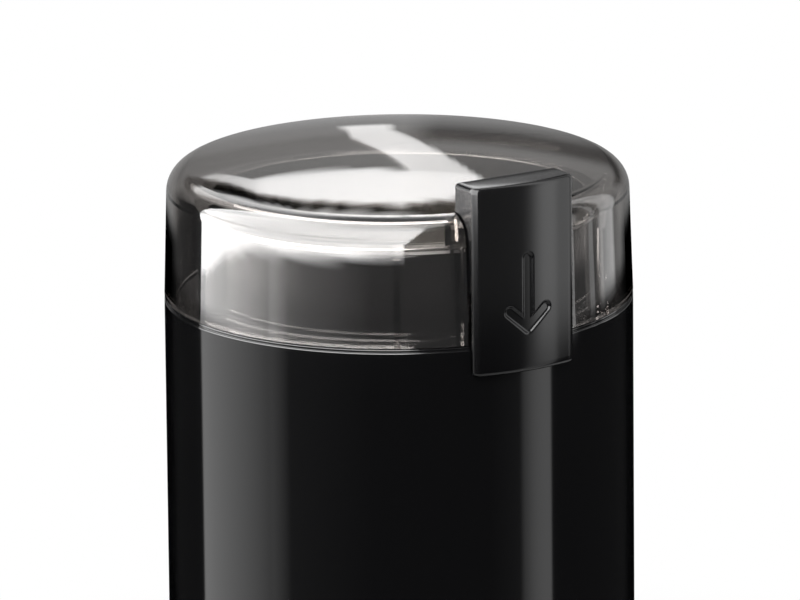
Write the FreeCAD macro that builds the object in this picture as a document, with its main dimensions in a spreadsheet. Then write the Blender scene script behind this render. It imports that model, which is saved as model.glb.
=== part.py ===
"""Electric spice grinder: a round motor housing with a smoked lift-off lid and a side push button.

Millimetres. Z is up and the origin is the centre of the base on the surface it stands on. The push
button faces -Y, the mains inlet faces +Y. Texts such as "rim_height - deck_thickness" are
expressions on the Sizes sheet, so every piece follows the sizes that it names.
"""
import FreeCAD, Part
import math
import os
import re

import Sketcher

os.makedirs("parts", exist_ok=True)
doc = FreeCAD.newDocument("spice_grinder")

SIZES = {
    # Housing
    "casing_radius": 42.5,
    "casing_wall": 2.2,
    "floor_room": 14.5,
    "deck_thickness": 2.5,
    "rebate_height": 0.6,
    "rebate_depth": 0.35,
    "collar_inset": 6.1,
    "collar_wall": 1.8,
    "collar_height": 16.0,
    "collar_skirt": 8.0,
    "foot_stand": 1.5,
    "foot_radius": 5.0,
    "foot_sink": 1.2,
    "foot_inset": 10.5,
    "base_thickness": 3.0,
    "base_inset": 0.6,
    "spigot_height": 5.0,
    "spigot_wall": 1.8,
    "base_boss_radius": 3.0,
    "base_boss_inset": 4.8,
    "base_boss_height": 14.0,
    "vent_start": 2.0,
    "vent_length": 10.0,
    "vent_width": 2.4,
    "screw_seat_depth": 1.0,
    "inlet_rise": 1.3,
    "cord_radius": 3.6,
    "gland_wall": 2.0,
    "gland_lip": 1.6,
    "gland_stand": 1.0,
    # Clearances
    "part_gap": 0.2,
    "moving_gap": 0.3,
    "running_gap": 0.05,
    # How far a cutting shape, or the hidden end of a joined one, runs past a face
    "run_past": 1.0,
    # Lid
    "lid_gap": 0.3,
    "lid_wall": 2.0,
    "lid_height": 27.6,
    "lid_draft": 0.85,
    "shoulder_radius": 4.6,
    "dome_radius": 187.0,
    "pocket_wall": 1.2,
    "ledge_height": 4.5,
    "ledge_thickness": 1.5,
    "rib_angle": 32.0,
    "rib_width": 1.2,
    "rib_depth": 1.4,
    "rib_root": 0.6,
    # Push button
    "button_width": 21.0,
    "button_proud": 1.6,
    "button_top": 29.2,
    "button_skirt": 5.4,
    "button_depth": 7.5,
    "button_travel": 3.5,
    "button_corner": 1.5,
    "button_edge": 0.8,
    "tongue_width": 6.0,
    "barb_reach": 1.3,
    "barb_height": 2.0,
    "arrow_depth": 0.5,
    "arrow_before": 5.0,
    "arrow_cut": 8.0,
    "arrow_low": 1.4,
    "arrow_high": 16.3,
    "arrow_stroke": 1.85,
    "arrow_reach": 4.4,
    "arrow_barb_top": 6.5,
    "spring_radius": 1.5,
    "spring_wire": 0.4,
    "spring_offset": 6.2,
    "spring_length": 14.0,
    # Bowl
    "bowl_sheet": 0.6,
    "bowl_depth": 43.2,
    "bowl_corner": 8.0,
    "flange_overhang": 0.2,
    "gasket_thickness": 0.6,
    "hub_radius": 8.5,
    "hub_rise": 4.0,
    "hub_slope": 3.0,
    "seal_radius": 5.6,
    "seal_lip": 1.2,
    # Motor
    "shaft_radius": 3.0,
    "bearing_radius": 5.5,
    "boss_radius": 8.0,
    "bracket_thickness": 3.0,
    "bracket_inset": 16.5,
    "bowl_post_height": 9.9,
    "bowl_post_radius": 3.4,
    "bowl_post_inset": 4.0,
    "post_floor": 0.5,
    "bracket_lug_radius": 2.3,
    "bracket_boss_radius": 2.6,
    "bracket_boss_inset": 4.7,
    "washer_thickness": 1.0,
    "upper_boss_drop": 5.5,
    "upper_boss_rise": 4.0,
    "fan_gap": 3.4,
    "fan_height": 7.0,
    "fan_hub_wall": 4.0,
    "fan_sheet": 1.4,
    "vane_inset": 0.5,
    "vane_thickness": 1.2,
    "thrust_washer_thickness": 0.9,
    "core_drop": 19.5,
    "core_height": 26.0,
    "core_end_room": 13.5,
    "core_side_room": 20.5,
    "air_gap": 0.6,
    "armature_radius": 13.9,
    "winding_radius": 12.4,
    "winding_overhang": 5.5,
    "winding_root": 3.5,
    "winding_bore": 1.5,
    "slot_width": 3.2,
    "yoke_width": 5.0,
    "pole_width": 18.4,
    "coil_thickness": 6.6,
    "coil_inset": 1.6,
    "coil_overhang": 5.6,
    "coil_softness": 0.6,
    "coil_room": 1.0,
    "window_share": 0.65,
    "commutator_radius": 8.5,
    "commutator_drop": 8.0,
    "commutator_height": 10.0,
    "segment_depth": 1.0,
    "segment_gap": 0.4,
    "brush_width": 5.0,
    "brush_height": 6.0,
    "brush_length": 8.0,
    "brush_gap": 0.1,
    "brush_spring_length": 5.0,
    "holder_wall": 1.0,
    "holder_gap": 1.5,
    "pillar_depth": 5.0,
    "lower_boss_height": 7.0,
    "lower_drop": 2.0,
    "boss_floor": 1.5,
    "bolt_radius": 1.5,
    "bolt_head_height": 2.0,
    "bolt_end": 1.0,
    "leg_radius": 2.6,
    # Blade
    "blade_height": 8.0,
    "blade_gap": 5.3,
    "blade_width": 11.0,
    "blade_thickness": 1.6,
    "blade_flat": 1.0,
    "blade_rise": 9.0,
    "blade_drop": 7.0,
    "blade_twist": 12.0,
    "blade_clear": 10.0,
    "nut_radius": 5.0,
    "nut_height": 5.0,
    "nut_cap": 1.0,
    "nut_cone_foot": 1.3,
    "nut_cone_top": 0.6,
    # Switch
    "rod_width": 5.0,
    "rod_relief": 0.8,
    "rod_foot_height": 3.0,
    "rod_foot_drop": 4.1,
    "rod_foot_wing": 8.5,
    "rod_spring_length": 12.0,
    "spring_margin": 1.0,
    "lever_arm": 16.0,
    "lever_tail": 1.5,
    "lever_angle": 12.5,
    "lever_sheet": 0.4,
    "lever_width": 3.0,
    "pin_radius": 0.4,
    "switch_length": 20.0,
    "switch_overhang": 3.0,
    "tag_length": 3.5,
    "tag_start": 3.0,
    "tag_pitch": 7.0,
    "tag_width": 2.0,
    "tag_sheet": 0.6,
    "switch_thickness": 6.4,
    "switch_height": 10.5,
    "pivot_rise": 1.0,
    "ear_gap": 0.3,
    "ear_thickness": 0.8,
    "ear_half": 1.0,
    "plunger_offset": 5.0,
    "plunger_stroke": 1.1,
    "plunger_radius": 0.8,
    "plunger_length": 3.0,
    "switch_plate": 1.4,
    "plate_margin": 4.0,
    "shelf_half": 3.5,
    "shelf_reach": 3.0,
    "switch_screw_radius": 1.0,
    "switch_screw_rise": 3.0,
    "switch_screw_shift": 1.0,
    "switch_head_ratio": 1.8,
    "switch_head_height": 1.2,
    "plate_screw_shift": 4.0,
    "plate_screw_length": 6.0,
    "guide_length": 16.0,
    "guide_wall": 1.8,
    # Fasteners and electrics
    "screw_radius": 1.25,
    "screw_head_radius": 2.4,
    "screw_head_height": 1.6,
    "screw_length": 10.0,
    "terminal_place": 4.0,
    "terminal_length": 22.0,
    "terminal_width": 11.0,
    "terminal_height": 11.0,
    "terminal_bore_share": 0.4,
    "terminal_screw_sink": 1.0,
    "capacitor_place": 8.0,
    "capacitor_length": 17.0,
    "capacitor_width": 7.0,
    "capacitor_height": 12.0,
    "capacitor_corner": 1.0,
    "lead_radius": 1.0,
    "lead_bend": 3.5,
    "lead_run": 9.0,
    "lead_climb": 8.0,
}

# Sizes that follow from others: circles and widths from the casing, the rim's height from the stack
DERIVED = {
    "collar_radius": "(casing_radius - collar_inset)",
    "foot_circle": "(casing_radius - foot_inset)",
    "base_boss_circle": "(casing_radius - base_boss_inset)",
    "bracket_boss_circle": "(casing_radius - bracket_boss_inset)",
    "bracket_width": "(2 * (casing_radius - bracket_inset))",
    "bowl_post_circle": "(casing_radius - bracket_inset - bowl_post_inset)",
    "core_length": "(2 * (casing_radius - core_end_room))",
    "core_width": "(2 * (casing_radius - core_side_room))",
    "fan_radius": "(core_length / 2 - yoke_width / 2 - leg_radius - fan_gap)",
    "blade_reach": "(collar_radius - collar_wall - part_gap - bowl_sheet - blade_gap)",
    "motor_stack": "(lower_boss_height + lower_drop + commutator_height + commutator_drop"
                   " + core_height + core_drop + bracket_thickness)",
    "rim_height": "(foot_stand + base_thickness + floor_room + motor_stack + bowl_post_height"
                  " + bowl_depth - gasket_thickness - collar_height)",
}

sheet = doc.addObject("Spreadsheet::Sheet", "Sizes")
for row, (word, value) in enumerate(SIZES.items(), start=1):
    sheet.set("A%d" % row, word)
    sheet.set("B%d" % row, str(value))
    sheet.setAlias("B%d" % row, word)
doc.recompute()

# Levels, from the surface it stands on
BASE_LOW = "foot_stand"
BASE_HIGH = "(foot_stand + base_thickness)"
SPIGOT_HIGH = f"({BASE_HIGH} + spigot_height)"
INLET_HEIGHT = f"({SPIGOT_HIGH} + cord_radius + gland_wall + gland_lip + inlet_rise)"
DECK_LOW = "(rim_height - deck_thickness)"
COLLAR_HIGH = "(rim_height + collar_height)"
FLANGE_LOW = f"({COLLAR_HIGH} + gasket_thickness)"
FLANGE_HIGH = f"({FLANGE_LOW} + bowl_sheet)"
BOWL_FLOOR = f"({FLANGE_HIGH} - bowl_depth)"
BOWL_UNDER = f"({BOWL_FLOOR} - bowl_sheet)"
BRACKET_HIGH = f"({BOWL_UNDER} - bowl_post_height)"
BRACKET_LOW = f"({BRACKET_HIGH} - bracket_thickness)"
UPPER_BOSS_LOW = f"({BRACKET_LOW} - upper_boss_drop)"
UPPER_BOSS_HIGH = f"({BRACKET_HIGH} + upper_boss_rise)"
CORE_HIGH = f"({BRACKET_LOW} - core_drop)"
CORE_LOW = f"({CORE_HIGH} - core_height)"
COMMUTATOR_HIGH = f"({CORE_LOW} - commutator_drop)"
COMMUTATOR_LOW = f"({COMMUTATOR_HIGH} - commutator_height)"
LOWER_BOSS_HIGH = f"({COMMUTATOR_LOW} - lower_drop)"
LOWER_BOSS_LOW = f"({LOWER_BOSS_HIGH} - lower_boss_height)"
LOWER_PLATE_HIGH = f"({LOWER_BOSS_LOW} + bracket_thickness)"
LID_LOW = "(rim_height + lid_gap)"
LID_HIGH = "(rim_height + lid_height)"
LEDGE_LOW = "(rim_height + ledge_height)"
LEDGE_HIGH = f"({LEDGE_LOW} + ledge_thickness)"
STEP_LOW = f"({FLANGE_HIGH} + moving_gap)"
STEP_HIGH = f"({STEP_LOW} + pocket_wall)"
ROD_HIGH = f"({DECK_LOW} - moving_gap)"
TONGUE_LOW = f"({ROD_HIGH} + part_gap)"

# Radii and depths; a depth is measured from the axis towards the button
CASING_BORE = "(casing_radius - casing_wall)"
COLLAR_BORE = "(collar_radius - collar_wall)"
BOWL_OUTER = f"({COLLAR_BORE} - part_gap)"
BOWL_INNER = f"({BOWL_OUTER} - bowl_sheet)"
FLANGE_RADIUS = "(collar_radius + flange_overhang)"
BUTTON_HALF = "(button_width / 2)"
NOTCH_HALF = f"({BUTTON_HALF} + moving_gap)"
POCKET_HALF = f"({NOTCH_HALF} + pocket_wall)"
BUTTON_RADIUS = "(casing_radius + button_proud)"
PLATE_RADIUS = "(casing_radius + moving_gap)"
POCKET_BACK = f"({FLANGE_RADIUS} + moving_gap)"
POCKET_FACE = f"({POCKET_BACK} + pocket_wall)"
BUTTON_BACK = f"({POCKET_FACE} + moving_gap)"
HEAD_BACK = f"({BUTTON_RADIUS} - button_depth)"
HEAD_FACE = f"({HEAD_BACK} - moving_gap)"
HEAD_WALL = f"({HEAD_FACE} - pocket_wall)"
BARB_HALF = "(tongue_width / 2 + barb_reach)"
SLOT_HALF = f"({BARB_HALF} + moving_gap)"
TONGUE_FRONT = f"sqrt(({CASING_BORE} - moving_gap)^2 - {BARB_HALF}^2)"
ROD_BACK = "(collar_radius + rod_relief)"
BORE_RADIUS = "(shaft_radius + running_gap)"
POLE_BORE = "(armature_radius + air_gap)"
WINDOW_OUTER = "(core_length / 2 - yoke_width)"
BOLT_OFFSET = "(core_length / 2 - yoke_width / 2)"

# The switch hangs below the bracket on its button side
PLATE_BACK = "(bracket_width / 2)"
PLATE_FRONT = f"({PLATE_BACK} + switch_plate)"
SWITCH_FRONT = f"({PLATE_FRONT} + switch_thickness)"
ROD_FOOT_LOW = f"({BRACKET_LOW} - rod_foot_drop)"
BRUSH_MIDDLE = f"({COMMUTATOR_LOW} + commutator_height / 2)"
BRUSH_LOW = f"({BRUSH_MIDDLE} - brush_height / 2)"
BRUSH_HIGH = f"({BRUSH_MIDDLE} + brush_height / 2)"
HOLDER_START = "(commutator_radius + holder_gap)"
HOLDER_END = "(commutator_radius + brush_length + brush_spring_length + holder_wall)"
BLADE_LOW = f"({BOWL_FLOOR} + blade_height)"
BLOCK_LOW = f"({LEDGE_HIGH} + button_travel + moving_gap)"
HEAD_LOW = f"({STEP_HIGH} + button_travel + moving_gap)"
BUTTON_LOW = "(rim_height - button_skirt)"
BUTTON_HIGH = "(rim_height + button_top)"
SPRING_DEPTH = f"({BUTTON_BACK} + spring_radius + part_gap * 3)"
PIVOT_HEIGHT = (f"({ROD_FOOT_LOW} - (lever_arm + lever_tail) * tan(lever_angle) - lever_sheet"
                " - part_gap)")
SWITCH_HIGH = f"({PIVOT_HEIGHT} - pivot_rise)"
SWITCH_LOW = f"({SWITCH_HIGH} - switch_height)"
LEVER_NEAR = f"({PLATE_FRONT} + switch_thickness / 2 - lever_width / 2)"
LEVER_FAR = f"({LEVER_NEAR} + lever_width)"
SHELF_HIGH = f"({ROD_FOOT_LOW} - rod_spring_length)"
SHELF_DEPTH = f"({PLATE_FRONT} + switch_thickness + shelf_reach)"
ROD_SPRING_X = "(rod_foot_wing - spring_radius - spring_margin)"
SWITCH_SCREW_Z = f"({SWITCH_LOW} + switch_screw_rise)"
SWITCH_SCREW_X = ("-lever_arm + switch_screw_shift",
                  "-lever_arm + switch_screw_shift + switch_length / 2")
PLATE_SCREW_Z = f"({BRACKET_LOW} + bracket_thickness / 2)"
PLATE_SCREW_X = ("-lever_arm + plate_screw_shift", "0")
PLUNGER_X = "(-lever_arm + plunger_offset)"
PLUNGER_Y = f"(-{PLATE_FRONT} - switch_thickness / 2)"
PLUNGER_HIGH = f"({PIVOT_HEIGHT} + (plunger_offset - plunger_radius) * tan(lever_angle) - moving_gap)"
PLUNGER_LOW = f"({SWITCH_HIGH} - plunger_length - plunger_stroke)"
TERMINAL_X = ("-terminal_length / 2", "terminal_length / 2")
TERMINAL_Y = ("-terminal_width - terminal_place", "-terminal_place")
SCREW_HOLE = "(screw_radius + running_gap)"
BRACKET_ANGLES = (45, 135, 225, 315)
BASE_ANGLES = (60, 180, 300)
FOOT_ANGLES = (45, 135, 225, 315)
BOWL_POST_ANGLES = (30, 150, 270)
VENT_COUNT = 12
ROTOR_SLOTS = 8
COMMUTATOR_SEGMENTS = 12
FAN_VANES = 9
SWITCH_TAGS = 3
# An edge is picked by its place to within this many millimetres
CLOSE = 0.01


def expression(text):
    """The text with derived names written out and each size name a reference to the sheet."""
    for _ in DERIVED:
        text = re.sub(r"\b[a-z]+(?:_[a-z]+)+\b", lambda word: DERIVED.get(word[0], word[0]), text)
    return re.sub(r"\b([a-z]+(?:_[a-z]+)+)\b", r"Sizes.\1", text)


def size(text):
    """The present value of an expression, for the few shapes that are worked out in code."""
    return float(sheet.evalExpression(expression(text)))


def bind(target, **texts):
    """Ties properties of an object to expressions; a double underscore stands for a dot."""
    for name, text in texts.items():
        target.setExpression(name.replace("__", "."), expression(text))


def box(name, x_low, x_high, y_low, y_high, z_low, z_high, turn="0"):
    """A block between named faces, turned about the upright axis by an angle."""
    block = doc.addObject("Part::Box", name)
    block.Placement.Rotation = FreeCAD.Rotation(FreeCAD.Vector(0, 0, 1), 1)
    bind(block, Length=f"({x_high}) - ({x_low})", Width=f"({y_high}) - ({y_low})",
         Height=f"({z_high}) - ({z_low})", Placement__Rotation__Angle=turn,
         Placement__Base__x=f"({x_low}) * cos({turn}) - ({y_low}) * sin({turn})",
         Placement__Base__y=f"({x_low}) * sin({turn}) + ({y_low}) * cos({turn})",
         Placement__Base__z=z_low)
    return block


def post(name, radius, z_low, z_high, x="0", y="0"):
    """An upright cylinder."""
    column = doc.addObject("Part::Cylinder", name)
    bind(column, Radius=radius, Height=f"({z_high}) - ({z_low})", Placement__Base__x=x,
         Placement__Base__y=y, Placement__Base__z=z_low)
    return column


def pin_along_y(name, radius, y_low, y_high, x, z):
    """A cylinder that lies along Y."""
    pin = doc.addObject("Part::Cylinder", name)
    pin.Placement.Rotation = FreeCAD.Rotation(FreeCAD.Vector(1, 0, 0), -90)
    bind(pin, Radius=radius, Height=f"({y_high}) - ({y_low})", Placement__Base__x=x,
         Placement__Base__y=y_low, Placement__Base__z=z)
    return pin


def joined(name, pieces):
    """One solid from several that overlap."""
    union = doc.addObject("Part::MultiFuse", name)
    union.Shapes = pieces
    union.Refine = True
    return union


def shared(name, pieces):
    """The space that all the given solids have in common."""
    overlap = doc.addObject("Part::MultiCommon", name)
    overlap.Shapes = pieces
    overlap.Refine = True
    return overlap


def without(name, base, tools):
    """The base with the tools cut away."""
    tool = tools[0]
    if len(tools) > 1:
        tool = doc.addObject("Part::MultiFuse", name + "_tools")
        tool.Shapes = tools
    rest = doc.addObject("Part::Cut", name)
    rest.Base = base
    rest.Tool = tool
    rest.Refine = True
    return rest


def group(name, pieces):
    """Separate like solids that are kept as one sub-part."""
    bundle = doc.addObject("Part::Compound", name)
    bundle.Links = pieces
    return bundle


def turned(name, outline):
    """A body of revolution about the upright axis from (radius, height) corners."""
    body = doc.addObject("PartDesign::Body", name)
    upright = next(item for item in body.Origin.OriginFeatures if item.Role == "XZ_Plane")
    sketch = body.newObject("Sketcher::SketchObject", name + "_outline")
    sketch.AttachmentSupport = (upright, [""])
    sketch.MapMode = "FlatFace"
    corners = [(size(radius), size(height)) for radius, height in outline]
    for index, (radius, height) in enumerate(corners):
        next_radius, next_height = corners[(index + 1) % len(corners)]
        start = FreeCAD.Vector(radius, height, 0)
        end = FreeCAD.Vector(next_radius, next_height, 0)
        sketch.addGeometry(Part.LineSegment(start, end), False)
    for index, (radius, height) in enumerate(outline):
        following = (index + 1) % len(corners)
        sketch.addConstraint(Sketcher.Constraint("Coincident", index, 2, following, 1))
        across = sketch.addConstraint(
            Sketcher.Constraint("DistanceX", -1, 1, index, 1, corners[index][0]))
        sketch.setExpression("Constraints[%d]" % across, expression(radius))
        upward = sketch.addConstraint(
            Sketcher.Constraint("DistanceY", -1, 1, index, 1, corners[index][1]))
        sketch.setExpression("Constraints[%d]" % upward, expression(height))
    spin = body.newObject("PartDesign::Revolution", name + "_turned")
    spin.Profile = sketch
    spin.ReferenceAxis = (sketch, ["V_Axis"])
    spin.Angle = 360
    body.Tip = spin
    return body


def ring(name, inner, outer, z_low, z_high):
    """A turned tube about the upright axis."""
    return turned(name, [(inner, z_low), (outer, z_low), (outer, z_high), (inner, z_high)])


def disc(name, outer, z_low, z_high):
    """A turned solid disc about the upright axis."""
    return turned(name, [("0", z_low), (outer, z_low), (outer, z_high), ("0", z_high)])


def rounded(name, base, radius, chosen):
    """The base with a fillet on each edge that the chosen test picks."""
    doc.recompute()
    numbers = [index for index, edge in enumerate(base.Shape.Edges, start=1) if chosen(edge)]
    fillet = doc.addObject("Part::Fillet", name)
    fillet.Base = base
    fillet.Edges = [(number, radius, radius) for number in numbers]
    return fillet


def polar(circle, angle):
    """The x and y expressions of a place on a circle about the axis."""
    return f"({circle}) * cos({angle})", f"({circle}) * sin({angle})"


def screw(name, x, y, head_low, direction, length="screw_length"):
    """A pan-head screw; direction is +1 where its tip points up and -1 where it points down."""
    head_high = f"({head_low} + screw_head_height)"
    head = post(name + "_head", "screw_head_radius", head_low, head_high, x, y)
    if direction > 0:
        shank = post(name + "_shank", "screw_radius", head_high, f"{head_high} + {length}", x, y)
    else:
        shank = post(name + "_shank", "screw_radius", f"{head_low} - {length}", head_low, x, y)
    return joined(name, [head, shank])


def make_casing():
    """Outer shell, deck and bowl collar in one moulding, with its screw bosses and rod guide."""
    shell = turned("casing_shell", [
        (CASING_BORE, BASE_HIGH),
        ("casing_radius", BASE_HIGH),
        ("casing_radius", "rim_height - rebate_height"),
        ("casing_radius - rebate_depth", "rim_height - rebate_height"),
        ("casing_radius - rebate_depth", "rim_height"),
        ("collar_radius", "rim_height"),
        ("collar_radius", COLLAR_HIGH),
        (COLLAR_BORE, COLLAR_HIGH),
        (COLLAR_BORE, f"{DECK_LOW} - collar_skirt"),
        ("collar_radius", f"{DECK_LOW} - collar_skirt"),
        ("collar_radius", DECK_LOW),
        (CASING_BORE, DECK_LOW),
    ])
    solids = [shell]
    holes = []
    boss_low = f"({BRACKET_HIGH} + washer_thickness)"
    for angle in BRACKET_ANGLES:
        x, y = polar("bracket_boss_circle", angle)
        name = f"bracket_boss_{angle}"
        solids.append(post(name, "bracket_boss_radius", boss_low, f"{DECK_LOW} + part_gap", x, y))
        hole_high = f"{boss_low} + screw_length"
        holes.append(post(name + "_hole", SCREW_HOLE, f"{boss_low} - part_gap", hole_high, x, y))
    base_boss_low = f"({SPIGOT_HIGH} + part_gap)"
    for angle in BASE_ANGLES:
        x, y = polar("base_boss_circle", angle)
        name = f"base_boss_{angle}"
        base_boss_high = f"{base_boss_low} + base_boss_height"
        solids.append(post(name, "base_boss_radius", base_boss_low, base_boss_high, x, y))
        hole_high = f"{base_boss_low} + screw_length"
        holes.append(post(name + "_hole", SCREW_HOLE, f"{base_boss_low} - part_gap", hole_high, x, y))
    guide_half = "(rod_width / 2 + moving_gap + guide_wall)"
    guide_low = f"({DECK_LOW} - collar_skirt - guide_length)"
    guide_high = f"({DECK_LOW} - collar_skirt - moving_gap)"
    guide_back = f"({ROD_BACK} - moving_gap - guide_wall / 2)"
    solids.append(box("rod_guide", f"-{guide_half}", guide_half, f"-{CASING_BORE} - part_gap",
                      f"-{guide_back}", guide_low, guide_high))
    channel_half = "(rod_width / 2 + moving_gap)"
    holes.append(box("rod_channel", f"-{channel_half}", channel_half,
                     f"-{TONGUE_FRONT} - moving_gap", f"-{ROD_BACK} + moving_gap",
                     f"{guide_low} - part_gap", f"{guide_high} + part_gap"))
    holes.append(box("button_slot", f"-{SLOT_HALF}", SLOT_HALF,
                     f"-{TONGUE_FRONT} - moving_gap / 2", f"-{POCKET_FACE}",
                     f"{DECK_LOW} - part_gap", "rim_height + part_gap"))
    holes.append(pin_along_y("inlet_hole", "cord_radius + gland_wall", f"{CASING_BORE} - run_past * 2",
                             "casing_radius + run_past * 2", "0", INLET_HEIGHT))
    return without("casing", joined("casing_blank", solids), holes)


def make_base_cover():
    """Plug-in bottom cover with a spigot, screw sleeves, foot sockets and air slots."""
    spigot_outer = f"({CASING_BORE} - part_gap)"
    spigot_inner = f"({spigot_outer} - spigot_wall)"
    plate = turned("base_plate", [
        ("0", BASE_LOW),
        ("casing_radius - base_inset", BASE_LOW),
        ("casing_radius - base_inset", BASE_HIGH),
        (spigot_outer, BASE_HIGH),
        (spigot_outer, SPIGOT_HIGH),
        (spigot_inner, SPIGOT_HIGH),
        (spigot_inner, BASE_HIGH),
        ("0", BASE_HIGH),
    ])
    solids = [plate]
    holes = []
    for angle in BASE_ANGLES:
        x, y = polar("base_boss_circle", angle)
        sleeve_x, sleeve_y = polar("base_boss_circle - part_gap * 2", angle)
        name = f"base_sleeve_{angle}"
        solids.append(post(name, "base_boss_radius - part_gap", BASE_LOW, SPIGOT_HIGH,
                           sleeve_x, sleeve_y))
        holes.append(post(name + "_hole", SCREW_HOLE, f"{BASE_LOW} - run_past",
                          f"{SPIGOT_HIGH} + run_past", x, y))
        holes.append(post(name + "_seat", "screw_head_radius + running_gap",
                          f"{BASE_LOW} - run_past",
                          f"{BASE_LOW} + screw_head_height + screw_seat_depth", x, y))
    for number, angle in enumerate(FOOT_ANGLES, start=1):
        x, y = polar("foot_circle", angle)
        holes.append(post(f"foot_socket_{number}", "foot_radius", f"{BASE_LOW} - run_past",
                          f"{BASE_LOW} + foot_sink", x, y))
    for index in range(VENT_COUNT):
        turn = str(index * 360 // VENT_COUNT)
        holes.append(box(f"air_slot_{index}", "boss_radius + vent_start",
                         "boss_radius + vent_start + vent_length", "-vent_width / 2",
                         "vent_width / 2", f"{BASE_LOW} - run_past", f"{BASE_HIGH} + run_past", turn))
    return without("base_cover", joined("base_blank", solids), holes)


def make_feet():
    """Four rubber feet, each with its top pressed into a socket of the base cover."""
    for number, angle in enumerate(FOOT_ANGLES, start=1):
        x, y = polar("foot_circle", angle)
        name = f"foot_{number}"
        pad = post(name + "_pad", "foot_radius", "0", f"{BASE_LOW} + foot_sink", x, y)
        foot = rounded(name, pad, size("foot_stand") / 2,
                       lambda edge: abs(edge.BoundBox.ZMax) < CLOSE)
        foot.Label = name


def make_base_screws():
    """Three screws that hold the base cover to the casing."""
    screws = []
    for angle in BASE_ANGLES:
        x, y = polar("base_boss_circle", angle)
        screws.append(screw(f"base_screw_{angle}", x, y, f"({BASE_LOW} + screw_seat_depth)", 1,
                            "(spigot_height + screw_length - screw_seat_depth)"))
    return group("base_screws", screws)


def make_cord_gland():
    """Rubber bush in the back of the casing, through which a mains cord would leave."""
    wide = "(cord_radius + gland_wall + gland_lip)"
    sleeve = pin_along_y("gland_sleeve", "cord_radius + gland_wall", f"{CASING_BORE} - gland_lip",
                         "casing_radius + gland_lip", "0", INLET_HEIGHT)
    inner = pin_along_y("gland_inner_lip", wide, f"{CASING_BORE} - gland_lip - gland_stand",
                        f"{CASING_BORE} - gland_stand", "0", INLET_HEIGHT)
    outer = pin_along_y("gland_outer_lip", wide, "casing_radius + part_gap",
                        "casing_radius + gland_lip", "0", INLET_HEIGHT)
    bore = pin_along_y("gland_bore", "cord_radius", f"{CASING_BORE} - gland_lip - gland_stand - run_past",
                       "casing_radius + gland_lip + run_past", "0", INLET_HEIGHT)
    return without("cord_gland", joined("gland_blank", [sleeve, inner, outer]), [bore])


def make_bowl():
    """Drawn steel bowl with a rolled flange on the collar and a raised hub round the shaft."""
    blank = turned("bowl_blank", [
        ("seal_radius", BOWL_UNDER + " + hub_rise"),
        ("seal_radius", BOWL_FLOOR + " + hub_rise"),
        ("hub_radius", BOWL_FLOOR + " + hub_rise"),
        ("hub_radius + hub_slope", BOWL_FLOOR),
        (BOWL_INNER, BOWL_FLOOR),
        (BOWL_INNER, FLANGE_HIGH),
        (FLANGE_RADIUS, FLANGE_HIGH),
        (FLANGE_RADIUS, FLANGE_LOW),
        (BOWL_OUTER, FLANGE_LOW),
        (BOWL_OUTER, BOWL_UNDER),
        ("hub_radius + hub_slope - bowl_sheet / 2", BOWL_UNDER),
        ("hub_radius - bowl_sheet / 2", BOWL_UNDER + " + hub_rise"),
    ])
    floor = size(BOWL_FLOOR)
    under = size(BOWL_UNDER)
    inner = size(BOWL_INNER)
    outer = size(BOWL_OUTER)

    def inside_corner(edge):
        """The edge where the bowl's inner wall meets its floor."""
        box_of = edge.BoundBox
        return abs(box_of.XMax - inner) < CLOSE and abs(box_of.ZMax - floor) < CLOSE

    def outside_corner(edge):
        """The edge where the bowl's outer wall meets its underside."""
        box_of = edge.BoundBox
        return abs(box_of.XMax - outer) < CLOSE and abs(box_of.ZMax - under) < CLOSE

    inside = rounded("bowl_inside", blank, size("bowl_corner"), inside_corner)
    drawn = rounded("bowl_drawn", inside, size("bowl_corner + bowl_sheet"), outside_corner)
    holes = []
    for angle in BOWL_POST_ANGLES:
        x, y = polar("bowl_post_circle", angle)
        holes.append(post(f"bowl_hole_{angle}", SCREW_HOLE, f"{BOWL_UNDER} - run_past",
                          f"{BOWL_FLOOR} + run_past", x, y))
    return without("grinding_bowl", drawn, holes)


def make_bowl_gasket():
    """Silicone ring between the bowl's flange and the top of the collar."""
    return ring("bowl_gasket", COLLAR_BORE, "collar_radius", COLLAR_HIGH, FLANGE_LOW)


def make_bowl_screws():
    """Three screws through the bowl's floor into the posts of the upper bracket."""
    screws = []
    for angle in BOWL_POST_ANGLES:
        x, y = polar("bowl_post_circle", angle)
        screws.append(screw(f"bowl_screw_{angle}", x, y, BOWL_FLOOR, -1,
                            "(bowl_post_height - post_floor * 2)"))
    return group("bowl_screws", screws)


def make_shaft_seal():
    """Rubber lip seal in the bowl's hub, with a skirt over the hub's edge."""
    return turned("shaft_seal", [
        (BORE_RADIUS, BOWL_UNDER),
        ("seal_radius - running_gap", BOWL_UNDER),
        ("seal_radius - running_gap", BOWL_FLOOR + " + hub_rise"),
        ("seal_radius + seal_lip", BOWL_FLOOR + " + hub_rise"),
        ("seal_radius", BOWL_FLOOR + " + hub_rise + seal_lip"),
        (BORE_RADIUS, BOWL_FLOOR + " + hub_rise + seal_lip"),
    ])


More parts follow.
